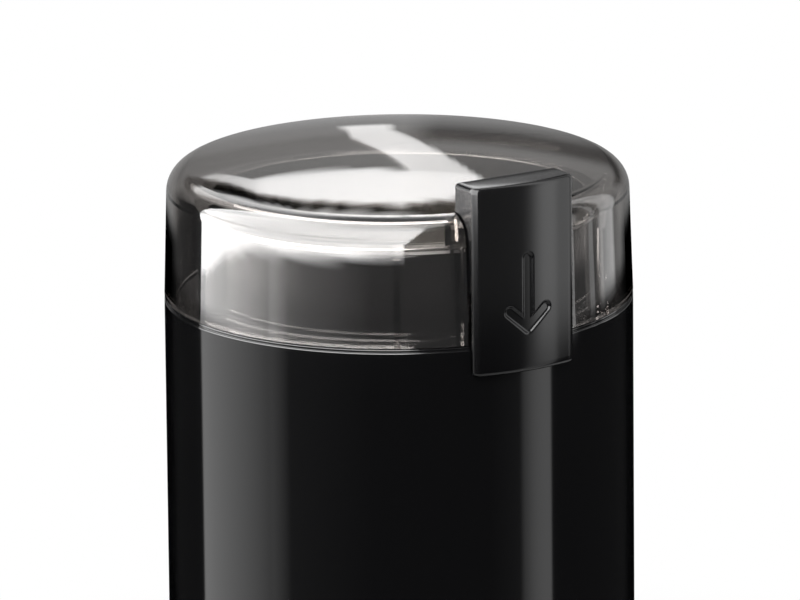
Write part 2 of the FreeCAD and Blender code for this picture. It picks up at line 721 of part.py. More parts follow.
def make_upper_bracket():
    """Moulded motor carrier: a cross plate with bearing boss, bowl posts, lugs and motor legs."""
    half = "(bracket_width / 2)"
    plate = box("bracket_plate", f"-{half}", half, f"-{half}", half, BRACKET_LOW, BRACKET_HIGH)
    boss = post("bracket_bearing_boss", "boss_radius", UPPER_BOSS_LOW, UPPER_BOSS_HIGH)
    solids = [plate, boss]
    holes = [post("bracket_bearing_hole", "bearing_radius", f"{UPPER_BOSS_LOW} - run_past",
                  f"{UPPER_BOSS_HIGH} + run_past")]
    for angle in BRACKET_ANGLES:
        x, y = polar("bracket_boss_circle", angle)
        solids.append(post(f"bracket_lug_{angle}", "bracket_lug_radius", BRACKET_LOW, BRACKET_HIGH,
                           x, y))
        arm = "bracket_lug_radius"
        solids.append(box(f"bracket_arm_{angle}", "bracket_width / 2", "bracket_boss_circle",
                          f"-{arm}", arm, BRACKET_LOW, BRACKET_HIGH, str(angle)))
        holes.append(post(f"bracket_lug_hole_{angle}", SCREW_HOLE, f"{BRACKET_LOW} - run_past",
                          f"{BRACKET_HIGH} + run_past", x, y))
    for angle in BOWL_POST_ANGLES:
        x, y = polar("bowl_post_circle", angle)
        name = f"bowl_post_{angle}"
        solids.append(post(name, "bowl_post_radius", BRACKET_LOW, BOWL_UNDER, x, y))
        holes.append(post(name + "_hole", SCREW_HOLE, f"{BRACKET_HIGH} + post_floor",
                          f"{BOWL_UNDER} + run_past", x, y))
    for side in (-1, 1):
        x = f"{side} * {BOLT_OFFSET}"
        name = "bracket_leg_left" if side < 0 else "bracket_leg_right"
        solids.append(post(name, "leg_radius", CORE_HIGH, BRACKET_HIGH, x, "0"))
        holes.append(post(name + "_hole", "bolt_radius + running_gap", f"{CORE_HIGH} - run_past",
                          f"{BRACKET_HIGH} + run_past", x, "0"))
    for index, x in enumerate(PLATE_SCREW_X):
        holes.append(pin_along_y(f"bracket_edge_hole_{index}", "switch_screw_radius + running_gap",
                                 f"-{PLATE_BACK} - run_past",
                                 f"-{PLATE_BACK} + plate_screw_length + run_past", x,
                                 PLATE_SCREW_Z))
    return without("upper_bracket", joined("bracket_blank", solids), holes)


def make_bracket_washers():
    """Four rubber washers that part the motor carrier from the casing's bosses."""
    washers = []
    for angle in BRACKET_ANGLES:
        x, y = polar("bracket_boss_circle", angle)
        name = f"bracket_washer_{angle}"
        pad = post(name + "_pad", "bracket_lug_radius", BRACKET_HIGH,
                   f"{BRACKET_HIGH} + washer_thickness", x, y)
        hole = post(name + "_hole", SCREW_HOLE, f"{BRACKET_HIGH} - run_past",
                    f"{BRACKET_HIGH} + washer_thickness + 1", x, y)
        washers.append(without(name, pad, [hole]))
    return group("bracket_washers", washers)


def make_bracket_screws():
    """Four screws from below through the carrier's lugs into the casing."""
    screws = []
    for angle in BRACKET_ANGLES:
        x, y = polar("bracket_boss_circle", angle)
        screws.append(screw(f"bracket_screw_{angle}", x, y,
                            f"({BRACKET_LOW} - screw_head_height)", 1))
    return group("bracket_screws", screws)


def make_bearings():
    """Sintered bushes at both ends of the motor."""
    upper = ring("upper_bearing", BORE_RADIUS, "bearing_radius", UPPER_BOSS_LOW, UPPER_BOSS_HIGH)
    lower = ring("lower_bearing", BORE_RADIUS, "bearing_radius", f"{LOWER_BOSS_LOW} + boss_floor",
                 LOWER_BOSS_HIGH)
    upper.Label = "upper_bearing"
    lower.Label = "lower_bearing"


def make_field_core():
    """Laminated stator with a round pole bore and four coil windows open to it."""
    block = box("core_block", "-core_length / 2", "core_length / 2", "-core_width / 2",
                "core_width / 2", CORE_LOW, CORE_HIGH)
    holes = [post("pole_bore", POLE_BORE, f"{CORE_LOW} - run_past", f"{CORE_HIGH} + run_past")]
    for side in (-1, 1):
        for flank in (-1, 1):
            name = f"coil_window_{side + 1}{flank + 1}"
            x_ends = ("armature_radius * window_share", WINDOW_OUTER)
            y_ends = ("pole_width / 2", "pole_width / 2 + coil_thickness + coil_room")
            if side < 0:
                x_ends = (f"-({x_ends[1]})", f"-({x_ends[0]})")
            if flank < 0:
                y_ends = (f"-({y_ends[1]})", f"-({y_ends[0]})")
            holes.append(box(name, *x_ends, *y_ends, f"{CORE_LOW} - run_past", f"{CORE_HIGH} + run_past"))
        hole_name = "core_bolt_hole_left" if side < 0 else "core_bolt_hole_right"
        holes.append(post(hole_name, "bolt_radius + running_gap", f"{CORE_LOW} - run_past",
                          f"{CORE_HIGH} + run_past", f"{side} * {BOLT_OFFSET}", "0"))
    return without("field_core", block, holes)


def make_field_coils():
    """Two coils of enamelled wire, each wound round one pole."""
    near = f"({POLE_BORE} + coil_inset)"
    far = f"({WINDOW_OUTER} - part_gap)"
    hole_half = "(pole_width / 2 + part_gap)"
    half = f"({hole_half} + coil_thickness)"
    low = f"({CORE_LOW} - part_gap)"
    high = f"({CORE_HIGH} + part_gap)"
    for side, name in ((-1, "field_coil_left"), (1, "field_coil_right")):
        x_ends = (near, far) if side > 0 else (f"-{far}", f"-{near}")
        outer = box(name + "_outer", *x_ends, f"-{half}", half, f"{low} - coil_overhang",
                    f"{high} + coil_overhang")
        softened = rounded(name + "_soft", outer, size("coil_overhang * coil_softness"),
                           lambda edge: edge.BoundBox.YLength < CLOSE and edge.BoundBox.ZLength < CLOSE)
        inner = box(name + "_inner", f"{x_ends[0]} - run_past", f"{x_ends[1]} + run_past", f"-{hole_half}",
                    hole_half, low, high)
        coil = without(name, softened, [inner])
        coil.Label = name


def make_lower_bracket():
    """Lower motor bracket: a cross with bearing boss, two legs to the core, brush pillars."""
    half_width = "(boss_radius)"
    solids = [
        box("lower_bar_x", f"-{BOLT_OFFSET}", BOLT_OFFSET, f"-{half_width}", half_width,
            LOWER_BOSS_LOW, LOWER_PLATE_HIGH),
        box("lower_bar_y", f"-{half_width}", half_width, f"-{HOLDER_END}", HOLDER_END,
            LOWER_BOSS_LOW, LOWER_PLATE_HIGH),
        post("lower_bearing_boss", "boss_radius", LOWER_BOSS_LOW, LOWER_BOSS_HIGH),
    ]
    holes = [post("lower_bearing_hole", "bearing_radius", f"{LOWER_BOSS_LOW} + boss_floor",
                  f"{LOWER_BOSS_HIGH} + run_past")]
    for side, word in ((-1, "left"), (1, "right")):
        x = f"{side} * {BOLT_OFFSET}"
        solids.append(post(f"lower_leg_{word}", "leg_radius", LOWER_BOSS_LOW, CORE_LOW, x, "0"))
        holes.append(post(f"lower_leg_hole_{word}", "bolt_radius + running_gap",
                          f"{LOWER_BOSS_LOW} - run_past", f"{CORE_LOW} + run_past", x, "0"))
    for side, word in ((-1, "front"), (1, "back")):
        y_ends = (f"{HOLDER_END} - pillar_depth", HOLDER_END)
        if side < 0:
            y_ends = (f"-{HOLDER_END}", f"-{HOLDER_END} + pillar_depth")
        solids.append(box(f"brush_pillar_{word}", "-holder_wall - brush_width / 2",
                          "holder_wall + brush_width / 2", *y_ends, LOWER_BOSS_LOW,
                          f"{BRUSH_LOW} - holder_wall"))
    return without("lower_bracket", joined("lower_blank", solids), holes)


def along_y(side, near, far):
    """The low and high y of a piece that lies between two distances in front or behind."""
    if side > 0:
        return near, far
    return f"-({far})", f"-({near})"


def make_brush_gear():
    """Brass holders with a carbon brush and its spring, in front of and behind the commutator."""
    for side, word in ((-1, "front"), (1, "back")):
        y_ends = along_y(side, HOLDER_START, HOLDER_END)
        outside = box(f"holder_outside_{word}", "-holder_wall - brush_width / 2",
                      "holder_wall + brush_width / 2", *y_ends, f"{BRUSH_LOW} - holder_wall",
                      f"{BRUSH_HIGH} + holder_wall")
        y_ends = along_y(side, f"{HOLDER_START} - run_past", f"{HOLDER_END} - holder_wall")
        inside = box(f"holder_inside_{word}", "-brush_width / 2 - running_gap",
                     "brush_width / 2 + running_gap", *y_ends, f"{BRUSH_LOW} - running_gap",
                     f"{BRUSH_HIGH} + running_gap")
        holder = without(f"brush_holder_{word}", outside, [inside])
        holder.Label = f"brush_holder_{word}"
        y_ends = along_y(side, "commutator_radius - run_past * 2", "commutator_radius + brush_length")
        block = box(f"brush_block_{word}", "-brush_width / 2", "brush_width / 2", *y_ends,
                    BRUSH_LOW, BRUSH_HIGH)
        face = post(f"brush_face_{word}", "commutator_radius + brush_gap", COMMUTATOR_LOW,
                    COMMUTATOR_HIGH)
        brush = without(f"carbon_brush_{word}", block, [face])
        brush.Label = f"carbon_brush_{word}"
        y_ends = along_y(side, "commutator_radius + brush_length", f"{HOLDER_END} - holder_wall")
        coil = pin_along_y(f"brush_coil_{word}", "brush_width / 2 - part_gap", *y_ends, "0",
                           BRUSH_MIDDLE)
        hollow = pin_along_y(f"brush_coil_hollow_{word}", "brush_width / 2 - part_gap - spring_wire",
                             f"{y_ends[0]} - run_past", f"{y_ends[1]} + run_past", "0", BRUSH_MIDDLE)
        spring = without(f"brush_spring_{word}", coil, [hollow])
        spring.Label = f"brush_spring_{word}"


def make_motor_bolts():
    """Two long bolts that clamp lower bracket, core and motor carrier together."""
    bolts = []
    for side, word in ((-1, "left"), (1, "right")):
        x = f"{side} * {BOLT_OFFSET}"
        head = post(f"motor_bolt_head_{word}", "leg_radius", f"{LOWER_BOSS_LOW} - bolt_head_height",
                    LOWER_BOSS_LOW, x, "0")
        shank = post(f"motor_bolt_shank_{word}", "bolt_radius", LOWER_BOSS_LOW,
                     f"{BRACKET_HIGH} + bolt_end", x, "0")
        bolts.append(joined(f"motor_bolt_{word}", [head, shank]))
    return group("motor_bolts", bolts)


def make_rotor():
    """Shaft, armature, commutator, fan and thrust washers."""
    shaft_high = f"({BLADE_LOW} + blade_thickness + nut_height - nut_cap)"
    shaft = disc("motor_shaft", "shaft_radius", f"{LOWER_BOSS_LOW} + boss_floor + moving_gap", shaft_high)
    shaft.Label = "motor_shaft"
    bars = []
    slots = []
    for index in range(ROTOR_SLOTS):
        turn = str((index + 0.5) * 360 / ROTOR_SLOTS)
        for store, word in ((bars, "bar"), (slots, "slot")):
            store.append(box(f"winding_{word}_{index}", "shaft_radius + winding_root", "winding_radius",
                             "-slot_width / 2", "slot_width / 2", CORE_LOW, CORE_HIGH, turn))
    stack = ring("armature_stack", "shaft_radius", "armature_radius", CORE_LOW, CORE_HIGH)
    core = without("armature_core", stack, slots)
    core.Label = "armature_core"
    lower = ring("winding_lower", "shaft_radius + winding_bore", "winding_radius",
                 f"{CORE_LOW} - winding_overhang", CORE_LOW)
    upper = ring("winding_upper", "shaft_radius + winding_bore", "winding_radius", CORE_HIGH,
                 f"{CORE_HIGH} + winding_overhang")
    winding = joined("armature_winding", [lower, upper] + bars)
    winding.Label = "armature_winding"
    barrel = ring("commutator_barrel", "shaft_radius", "commutator_radius", COMMUTATOR_LOW,
                  COMMUTATOR_HIGH)
    segments = []
    for index in range(COMMUTATOR_SEGMENTS):
        segments.append(box(f"segment_gap_{index}", "commutator_radius - segment_depth",
                            "commutator_radius + run_past", "-segment_gap / 2", "segment_gap / 2",
                            f"{COMMUTATOR_LOW} - run_past", f"{COMMUTATOR_HIGH} + run_past",
                            str(index * 360 // COMMUTATOR_SEGMENTS)))
    commutator = without("commutator", barrel, segments)
    commutator.Label = "commutator"
    fan_high = f"({UPPER_BOSS_LOW} - moving_gap - thrust_washer_thickness)"
    fan_low = f"({fan_high} - fan_height)"
    fan_hub = ring("fan_hub", "shaft_radius", "shaft_radius + fan_hub_wall", fan_low, fan_high)
    fan_disc = ring("fan_disc", "shaft_radius", "fan_radius", fan_low, f"{fan_low} + fan_sheet")
    vanes = []
    for index in range(FAN_VANES):
        vanes.append(box(f"fan_vane_{index}", "shaft_radius + fan_hub_wall - run_past",
                         "fan_radius - vane_inset", "-vane_thickness / 2", "vane_thickness / 2",
                         fan_low, fan_high, str(index * 360 // FAN_VANES)))
    fan = joined("cooling_fan", [fan_hub, fan_disc] + vanes)
    fan.Label = "cooling_fan"
    above = ring("thrust_washer_upper", "shaft_radius", "bearing_radius", fan_high,
                 f"{fan_high} + thrust_washer_thickness")
    below = ring("thrust_washer_lower", "shaft_radius", "bearing_radius",
                 f"{COMMUTATOR_LOW} - thrust_washer_thickness", COMMUTATOR_LOW)
    washers = group("thrust_washers", [above, below])
    washers.Label = "thrust_washers"


def make_blade():
    """Two-armed steel blade: a flat hub with one arm swept up and one swept down."""
    start = "(nut_radius + blade_flat)"
    hub = box("blade_hub", f"-{start} - run_past", f"{start} + run_past", "-blade_width / 2",
              "blade_width / 2", BLADE_LOW, f"{BLADE_LOW} + blade_thickness")
    arms = [hub]
    for side, slope in ((1, -size("blade_rise")), (-1, size("blade_drop"))):
        arm = doc.addObject("Part::Box", "blade_arm_up" if side > 0 else "blade_arm_down")
        turn = FreeCAD.Rotation(FreeCAD.Vector(0, 0, 1), 0 if side > 0 else 180)
        pitch = FreeCAD.Rotation(FreeCAD.Vector(0, 1, 0), slope)
        lean = FreeCAD.Rotation(FreeCAD.Vector(1, 0, 0), size("blade_twist"))
        arm.Placement.Rotation = turn * pitch * lean
        corner = arm.Placement.Rotation.multVec(FreeCAD.Vector(0, -1, 0))
        bind(arm, Length=f"blade_reach - {start}", Width="blade_width", Height="blade_thickness",
             Placement__Base__x=f"{side} * {start} + {round(corner.x, 4)} * blade_width / 2",
             Placement__Base__y=f"{round(corner.y, 4)} * blade_width / 2",
             Placement__Base__z=f"{BLADE_LOW} + {round(corner.z, 4)} * blade_width / 2")
        arms.append(arm)
    blank = joined("blade_blank", arms)
    sweep = post("blade_sweep", "blade_reach", f"{BLADE_LOW} - blade_clear", f"{BLADE_LOW} + blade_clear")
    trimmed = shared("blade_trimmed", [blank, sweep])
    hole = post("blade_hole", "shaft_radius", f"{BLADE_LOW} - blade_clear", f"{BLADE_LOW} + blade_clear")
    return without("blade", trimmed, [hole])


def make_blade_nut():
    """Hexagon cap nut that clamps the blade on the shaft."""
    nut_low = f"({BLADE_LOW} + blade_thickness + part_gap)"
    flats = doc.addObject("Part::Prism", "nut_flats")
    flats.Polygon = 6
    bind(flats, Circumradius="nut_radius", Height="nut_height", Placement__Base__z=nut_low)
    cone = doc.addObject("Part::Cone", "nut_cone")
    bind(cone, Radius1="nut_radius * nut_cone_foot", Radius2="nut_radius * nut_cone_top",
         Height="nut_height", Placement__Base__z=nut_low)
    body = shared("nut_body", [flats, cone])
    thread = post("nut_thread", "shaft_radius", f"{nut_low} - run_past",
                  f"{nut_low} + nut_height - nut_cap")
    return without("blade_nut", body, [thread])


def lid_solid(name, inset):
    """The lid's outer form drawn in by an inset: a drafted wall, a round shoulder and a low dome.

    The shoulder's arc touches the wall on one side and the dome on the other. Its centre lies its
    own radius inside the wall, and the dome's radius less its own from the dome's centre.
    """
    radius = size(f"casing_radius - {inset}")
    low = size(LID_LOW)
    high = size(f"{LID_HIGH} - {inset}")
    dome = size(f"dome_radius - {inset}")
    corner = size(f"shoulder_radius - {inset}")
    lean = math.atan2(size("lid_draft"), size(f"{LID_HIGH} - {LID_LOW}"))
    normal = FreeCAD.Vector(math.cos(lean), math.sin(lean), 0)
    upward = FreeCAD.Vector(-math.sin(lean), math.cos(lean), 0)
    foot = FreeCAD.Vector(radius, low, 0)
    dome_centre = FreeCAD.Vector(0, high - dome, 0)
    inward = normal.dot(foot) - corner - normal.dot(dome_centre)
    rise = math.sqrt((dome - corner) ** 2 - inward ** 2)
    centre = dome_centre + normal * inward + upward * rise
    wall_end = centre + normal * corner
    outward = (centre - dome_centre).normalize()
    shoulder_end = centre + outward * corner
    between = (normal + outward).normalize()
    apex = FreeCAD.Vector(0, high, 0)
    dome_middle = (outward + FreeCAD.Vector(0, 1, 0)).normalize()
    body = doc.addObject("PartDesign::Body", name)
    upright = next(item for item in body.Origin.OriginFeatures if item.Role == "XZ_Plane")
    sketch = body.newObject("Sketcher::SketchObject", name + "_outline")
    sketch.AttachmentSupport = (upright, [""])
    sketch.MapMode = "FlatFace"
    sketch.addGeometry([
        Part.LineSegment(FreeCAD.Vector(0, low, 0), foot),
        Part.LineSegment(foot, wall_end),
        Part.Arc(wall_end, centre + between * corner, shoulder_end),
        Part.Arc(shoulder_end, dome_centre + dome_middle * dome, apex),
        Part.LineSegment(apex, FreeCAD.Vector(0, low, 0)),
    ], False)
    sketch.addConstraint([
        Sketcher.Constraint("Coincident", 0, 2, 1, 1),
        Sketcher.Constraint("Tangent", 1, 2, 2, 1),
        Sketcher.Constraint("Tangent", 2, 2, 3, 1),
        Sketcher.Constraint("Coincident", 3, 2, 4, 1),
        Sketcher.Constraint("Coincident", 4, 2, 0, 1),
        Sketcher.Constraint("PointOnObject", 3, 3, -2),
        Sketcher.Constraint("PointOnObject", 0, 1, -2),
        Sketcher.Constraint("PointOnObject", 3, 2, -2),
        Sketcher.Constraint("Horizontal", 0),
    ])
    bound = [
        (Sketcher.Constraint("DistanceX", -1, 1, 0, 2, radius), f"casing_radius - {inset}"),
        (Sketcher.Constraint("DistanceY", -1, 1, 0, 2, low), LID_LOW),
        (Sketcher.Constraint("DistanceY", -1, 1, 3, 2, high), f"{LID_HIGH} - {inset}"),
        (Sketcher.Constraint("Radius", 2, corner), f"shoulder_radius - {inset}"),
        (Sketcher.Constraint("Radius", 3, dome), f"dome_radius - {inset}"),
    ]
    for constraint, text in bound:
        number = sketch.addConstraint(constraint)
        sketch.setExpression("Constraints[%d]" % number, expression(text))
    sketch.addConstraint(Sketcher.Constraint("Angle", 1, math.pi / 2 + lean))
    spin = body.newObject("PartDesign::Revolution", name + "_turned")
    spin.Profile = sketch
    spin.ReferenceAxis = (sketch, ["V_Axis"])
    spin.Angle = 360
    body.Tip = spin
    return body


def make_lid():
    """Smoked clear cup with a pocket in its side for the push button and two inside ribs."""
    outer = lid_solid("lid_outer", "0")
    inner = lid_solid("lid_inner", "lid_wall")
    wall = without("lid_wall_solid", outer, [inner])
    top = f"{LID_HIGH} + run_past"
    front = "-casing_radius - run_past"
    lower_block = box("pocket_lower", f"-{POCKET_HALF}", POCKET_HALF, front, f"-{POCKET_BACK}",
                      LID_LOW, STEP_HIGH)
    upper_block = box("pocket_upper", f"-{POCKET_HALF}", POCKET_HALF, front, f"-{HEAD_WALL}",
                      STEP_LOW, top)
    outer_again = lid_solid("pocket_limit", "0")
    pocket = shared("pocket_blank", [joined("pocket_blocks", [lower_block, upper_block]),
                                     outer_again])
    ribs = []
    for side in (-1, 1):
        ribs.append(box(f"lid_rib_{side + 1}", "casing_radius - lid_wall - rib_depth",
                        "casing_radius - lid_wall * rib_root", "-rib_width / 2", "rib_width / 2",
                        LID_LOW, COLLAR_HIGH, f"270 + {side} * rib_angle"))
    solid = joined("lid_blank", [wall, pocket] + ribs)
    holes = [
        box("notch_upper", f"-{NOTCH_HALF}", NOTCH_HALF, front, f"-{HEAD_FACE}", STEP_HIGH, top),
        box("notch_middle", f"-{NOTCH_HALF}", NOTCH_HALF, front, f"-{POCKET_FACE}", LEDGE_HIGH, top),
        box("notch_lower", f"-{NOTCH_HALF}", NOTCH_HALF, front, f"-{POCKET_FACE}",
            f"{LID_LOW} - run_past", LEDGE_LOW),
        box("ledge_slot", "-tongue_width / 2 - moving_gap", "tongue_width / 2 + moving_gap",
            f"-{TONGUE_FRONT} - moving_gap", f"-{POCKET_FACE}", f"{LEDGE_LOW} - run_past",
            f"{LEDGE_HIGH} + run_past"),
    ]
    return without("lid", solid, holes)


def arrow_stroke(name, start, end):
    """A round-ended bar between two (x, z) points that runs through the button's front."""
    radius = size("arrow_stroke") / 2
    front = -size(f"{BUTTON_RADIUS} + arrow_before")
    depth = size("arrow_cut")
    along = FreeCAD.Vector(end[0] - start[0], 0, end[1] - start[1])
    side = FreeCAD.Vector(-along.z, 0, along.x).normalize() * radius
    first = FreeCAD.Vector(start[0], front, start[1])
    last = FreeCAD.Vector(end[0], front, end[1])
    cap_first = first - along.normalize() * radius
    cap_last = last + along.normalize() * radius
    edges = [
        Part.makeLine(first + side, last + side),
        Part.Arc(last + side, cap_last, last - side).toShape(),
        Part.makeLine(last - side, first - side),
        Part.Arc(first - side, cap_first, first + side).toShape(),
    ]
    face = Part.Face(Part.Wire(edges))
    bar = doc.addObject("Part::Feature", name)
    bar.Shape = face.extrude(FreeCAD.Vector(0, depth, 0))
    return bar


def make_button():
    """Push button: curved front plate over lid and casing, deep head, tongue with two barbs."""
    blocks = [
        box("button_front", f"-{BUTTON_HALF}", BUTTON_HALF, f"-{BUTTON_RADIUS} - run_past",
            f"-{BUTTON_BACK}", BUTTON_LOW, BUTTON_HIGH),
        box("button_head", f"-{BUTTON_HALF}", BUTTON_HALF, f"-{BUTTON_RADIUS} - run_past",
            f"-{HEAD_BACK}", HEAD_LOW, BUTTON_HIGH),
    ]
    round_front = post("button_round_front", BUTTON_RADIUS, BUTTON_LOW, BUTTON_HIGH)
    block = shared("button_block", [joined("button_blocks", blocks), round_front])
    half = size(BUTTON_HALF)
    low = size(BUTTON_LOW)
    high = size(BUTTON_HIGH)

    def front_corner(edge):
        """An upright edge between the button's face and a side."""
        bounds = edge.BoundBox
        upright = bounds.ZLength > high - low - CLOSE
        return upright and bounds.YMax < -size(BUTTON_BACK) - CLOSE

    def rim_edge(edge):
        """An edge round the button's top or its lower end."""
        bounds = edge.BoundBox
        at_end = min(abs(bounds.ZMax - high), abs(bounds.ZMax - low)) < CLOSE
        return bounds.ZLength < CLOSE and at_end

    softened = rounded("button_softened", block, size("button_corner"), front_corner)
    edged = rounded("button_edged", softened, size("button_edge"), rim_edge)
    relief = post("button_relief", PLATE_RADIUS, f"{BUTTON_LOW} - run_past", BLOCK_LOW)
    holes = [relief]
    for side, word in ((-1, "left"), (1, "right")):
        holes.append(post(f"spring_bore_{word}", "spring_radius + part_gap", f"{BLOCK_LOW} - run_past",
                          f"{LEDGE_HIGH} + spring_length", f"{side} * spring_offset",
                          f"-{SPRING_DEPTH}"))
    hollow = without("button_hollow", edged, holes)
    tongue = box("button_tongue", "-tongue_width / 2", "tongue_width / 2", f"-{TONGUE_FRONT}",
                 f"-{BUTTON_BACK}", TONGUE_LOW, f"{BLOCK_LOW} + run_past")
    barbs = box("button_barbs", f"-{BARB_HALF}", BARB_HALF, f"-{TONGUE_FRONT}", f"-{BUTTON_BACK}",
                f"{LEDGE_LOW} - moving_gap - barb_height", f"{LEDGE_LOW} - moving_gap")
    whole = joined("button_whole", [hollow, tongue, barbs])
    rim = size("rim_height")
    radius = size("arrow_stroke") / 2
    tip = (0, rim + size("arrow_low") + radius * math.sqrt(2))
    strokes = [
        arrow_stroke("arrow_shaft", tip, (0, rim + size("arrow_high") - radius)),
        arrow_stroke("arrow_barb_left", tip,
                     (radius - size("arrow_reach"), rim + size("arrow_barb_top") - radius)),
        arrow_stroke("arrow_barb_right", tip,
                     (size("arrow_reach") - radius, rim + size("arrow_barb_top") - radius)),
    ]
    arrow = joined("arrow_bars", strokes)
    floor = post("arrow_floor", f"{BUTTON_RADIUS} - arrow_depth", BUTTON_LOW, BUTTON_HIGH)
    return without("push_button", whole, [without("arrow_recess", arrow, [floor])])


def make_return_springs():
    """Two compression springs between the lid's ledge and the button, as plain sleeves."""
    for side, word in ((-1, "left"), (1, "right")):
        place = (f"{side} * spring_offset", f"-{SPRING_DEPTH}")
        high = f"{LEDGE_HIGH} + spring_length"
        coil = post(f"return_coil_{word}", "spring_radius", LEDGE_HIGH, high, *place)
        core = post(f"return_core_{word}", "spring_radius - spring_wire", f"{LEDGE_HIGH} - run_past",
                    f"{high} + run_past", *place)
        spring = without(f"return_spring_{word}", coil, [core])
        spring.Label = f"return_spring_{word}"


def make_switch_rod():
    """Sliding rod that carries the button's stroke down to the switch, with a foot at its end."""
    bar = box("rod_bar", "-rod_width / 2", "rod_width / 2", f"-{TONGUE_FRONT}", f"-{ROD_BACK}",
              ROD_FOOT_LOW, ROD_HIGH)
    foot = box("rod_foot", "-rod_width / 2", "rod_foot_wing", f"-{ROD_BACK} - run_past",
               f"-{PLATE_FRONT} - moving_gap * 3", ROD_FOOT_LOW, f"{ROD_FOOT_LOW} + rod_foot_height")
    return joined("switch_rod", [bar, foot])


def make_rod_spring():
    """Compression spring that lifts the rod, as a plain sleeve between shelf and foot."""
    place = (ROD_SPRING_X, f"-{PLATE_FRONT} - switch_thickness / 2")
    coil = post("rod_spring_coil", "spring_radius", SHELF_HIGH, ROD_FOOT_LOW, *place)
    core = post("rod_spring_core", "spring_radius - spring_wire", f"{SHELF_HIGH} - run_past",
                f"{ROD_FOOT_LOW} + run_past", *place)
    return without("rod_spring", coil, [core])


def make_switch_bracket():
    """Bent steel plate on the motor carrier's front edge that holds the switch and the spring."""
    left = "-(lever_arm + plate_margin)"
    right = "(rod_foot_wing + plate_margin / 2)"
    plate = box("switch_back_plate", left, right, f"-{PLATE_FRONT}", f"-{PLATE_BACK}",
                f"{SWITCH_LOW} - plate_margin / 2", BRACKET_HIGH)
    shelf = box("switch_shelf", f"{ROD_SPRING_X} - shelf_half", right, f"-{SHELF_DEPTH}", f"-{PLATE_BACK}",
                f"{SHELF_HIGH} - switch_plate", SHELF_HIGH)
    holes = []
    for index, x in enumerate(SWITCH_SCREW_X):
        holes.append(pin_along_y(f"plate_hole_{index}", "switch_screw_radius + running_gap",
                                 f"-{PLATE_FRONT} - run_past", f"-{PLATE_BACK} + run_past", x,
                                 SWITCH_SCREW_Z))
    for index, x in enumerate(PLATE_SCREW_X):
        holes.append(pin_along_y(f"carrier_hole_{index}", "switch_screw_radius + running_gap",
                                 f"-{PLATE_FRONT} - run_past", f"-{PLATE_BACK} + run_past", x,
                                 PLATE_SCREW_Z))
    return without("switch_bracket", joined("switch_plate_blank", [plate, shelf]), holes)


def make_microswitch():
    """Snap-action switch: a moulded body with two ears and a pin for its lever, and three tags."""
    left = "(-lever_arm - switch_overhang)"
    body = box("switch_body", left, f"{left} + switch_length", f"-{SWITCH_FRONT}", f"-{PLATE_FRONT}",
               SWITCH_LOW, SWITCH_HIGH)
    ears = []
    outside = "(ear_gap + ear_thickness)"
    for index, (near, far) in enumerate(((f"{LEVER_NEAR} - {outside}", f"{LEVER_NEAR} - ear_gap"),
                                         (f"{LEVER_FAR} + ear_gap", f"{LEVER_FAR} + {outside}"))):
        ears.append(box(f"switch_ear_{index}", "-lever_arm - ear_half", "-lever_arm + ear_half",
                        f"-({far})", f"-({near})", f"{SWITCH_HIGH} - run_past",
                        f"{PIVOT_HEIGHT} + ear_half"))
    pin = pin_along_y("switch_pin", "pin_radius", f"-({LEVER_FAR} + {outside})",
                      f"-({LEVER_NEAR} - {outside})", "-lever_arm", PIVOT_HEIGHT)
    tags = []
    tag_y = f"-{PLATE_FRONT} - switch_thickness / 2"
    for index in range(SWITCH_TAGS):
        tag_x = f"{left} + tag_start + {index} * tag_pitch"
        tags.append(box(f"switch_tag_{index}", f"{tag_x} - tag_width / 2", f"{tag_x} + tag_width / 2",
                        f"{tag_y} - tag_sheet / 2", f"{tag_y} + tag_sheet / 2",
                        f"{SWITCH_LOW} - tag_length", f"{SWITCH_LOW} + run_past"))
    holes = []
    for index, x in enumerate(SWITCH_SCREW_X):
        holes.append(pin_along_y(f"switch_hole_{index}", "switch_screw_radius + running_gap",
                                 f"-{SWITCH_FRONT} - run_past", f"-{PLATE_FRONT} + run_past", x,
                                 SWITCH_SCREW_Z))
    place = (PLUNGER_X, PLUNGER_Y)
    holes.append(post("plunger_well", "plunger_radius + running_gap", PLUNGER_LOW,
                      f"{SWITCH_HIGH} + run_past", *place))
    return without("microswitch", joined("switch_blank", [body, pin] + ears + tags), holes)


def make_switch_plunger():
    """Small pin that the lever pushes into the switch."""
    return post("switch_plunger", "plunger_radius", f"{PLUNGER_LOW} + plunger_stroke + moving_gap",
                PLUNGER_HIGH, PLUNGER_X, PLUNGER_Y)


def make_switch_lever():
    """Sheet steel lever that slopes up from its eye on the switch's pin to under the rod."""
    leaf = doc.addObject("Part::Box", "lever_leaf")
    leaf.Placement.Rotation = FreeCAD.Rotation(FreeCAD.Vector(0, -1, 0), 1)
    bind(leaf, Length="(lever_arm + lever_tail) / cos(lever_angle)", Width="lever_width",
         Height="lever_sheet", Placement__Rotation__Angle="lever_angle",
         Placement__Base__x="-lever_arm", Placement__Base__y=f"-{LEVER_FAR}",
         Placement__Base__z=PIVOT_HEIGHT)
    eye = pin_along_y("lever_eye", "pin_radius + lever_sheet + running_gap", f"-{LEVER_FAR}",
                      f"-{LEVER_NEAR}", "-lever_arm", PIVOT_HEIGHT)
    hole = pin_along_y("lever_hole", "pin_radius + running_gap", f"-{LEVER_FAR} - run_past",
                       f"-{LEVER_NEAR} + run_past", "-lever_arm", PIVOT_HEIGHT)
    return without("switch_lever", joined("lever_blank", [leaf, eye]), [hole])


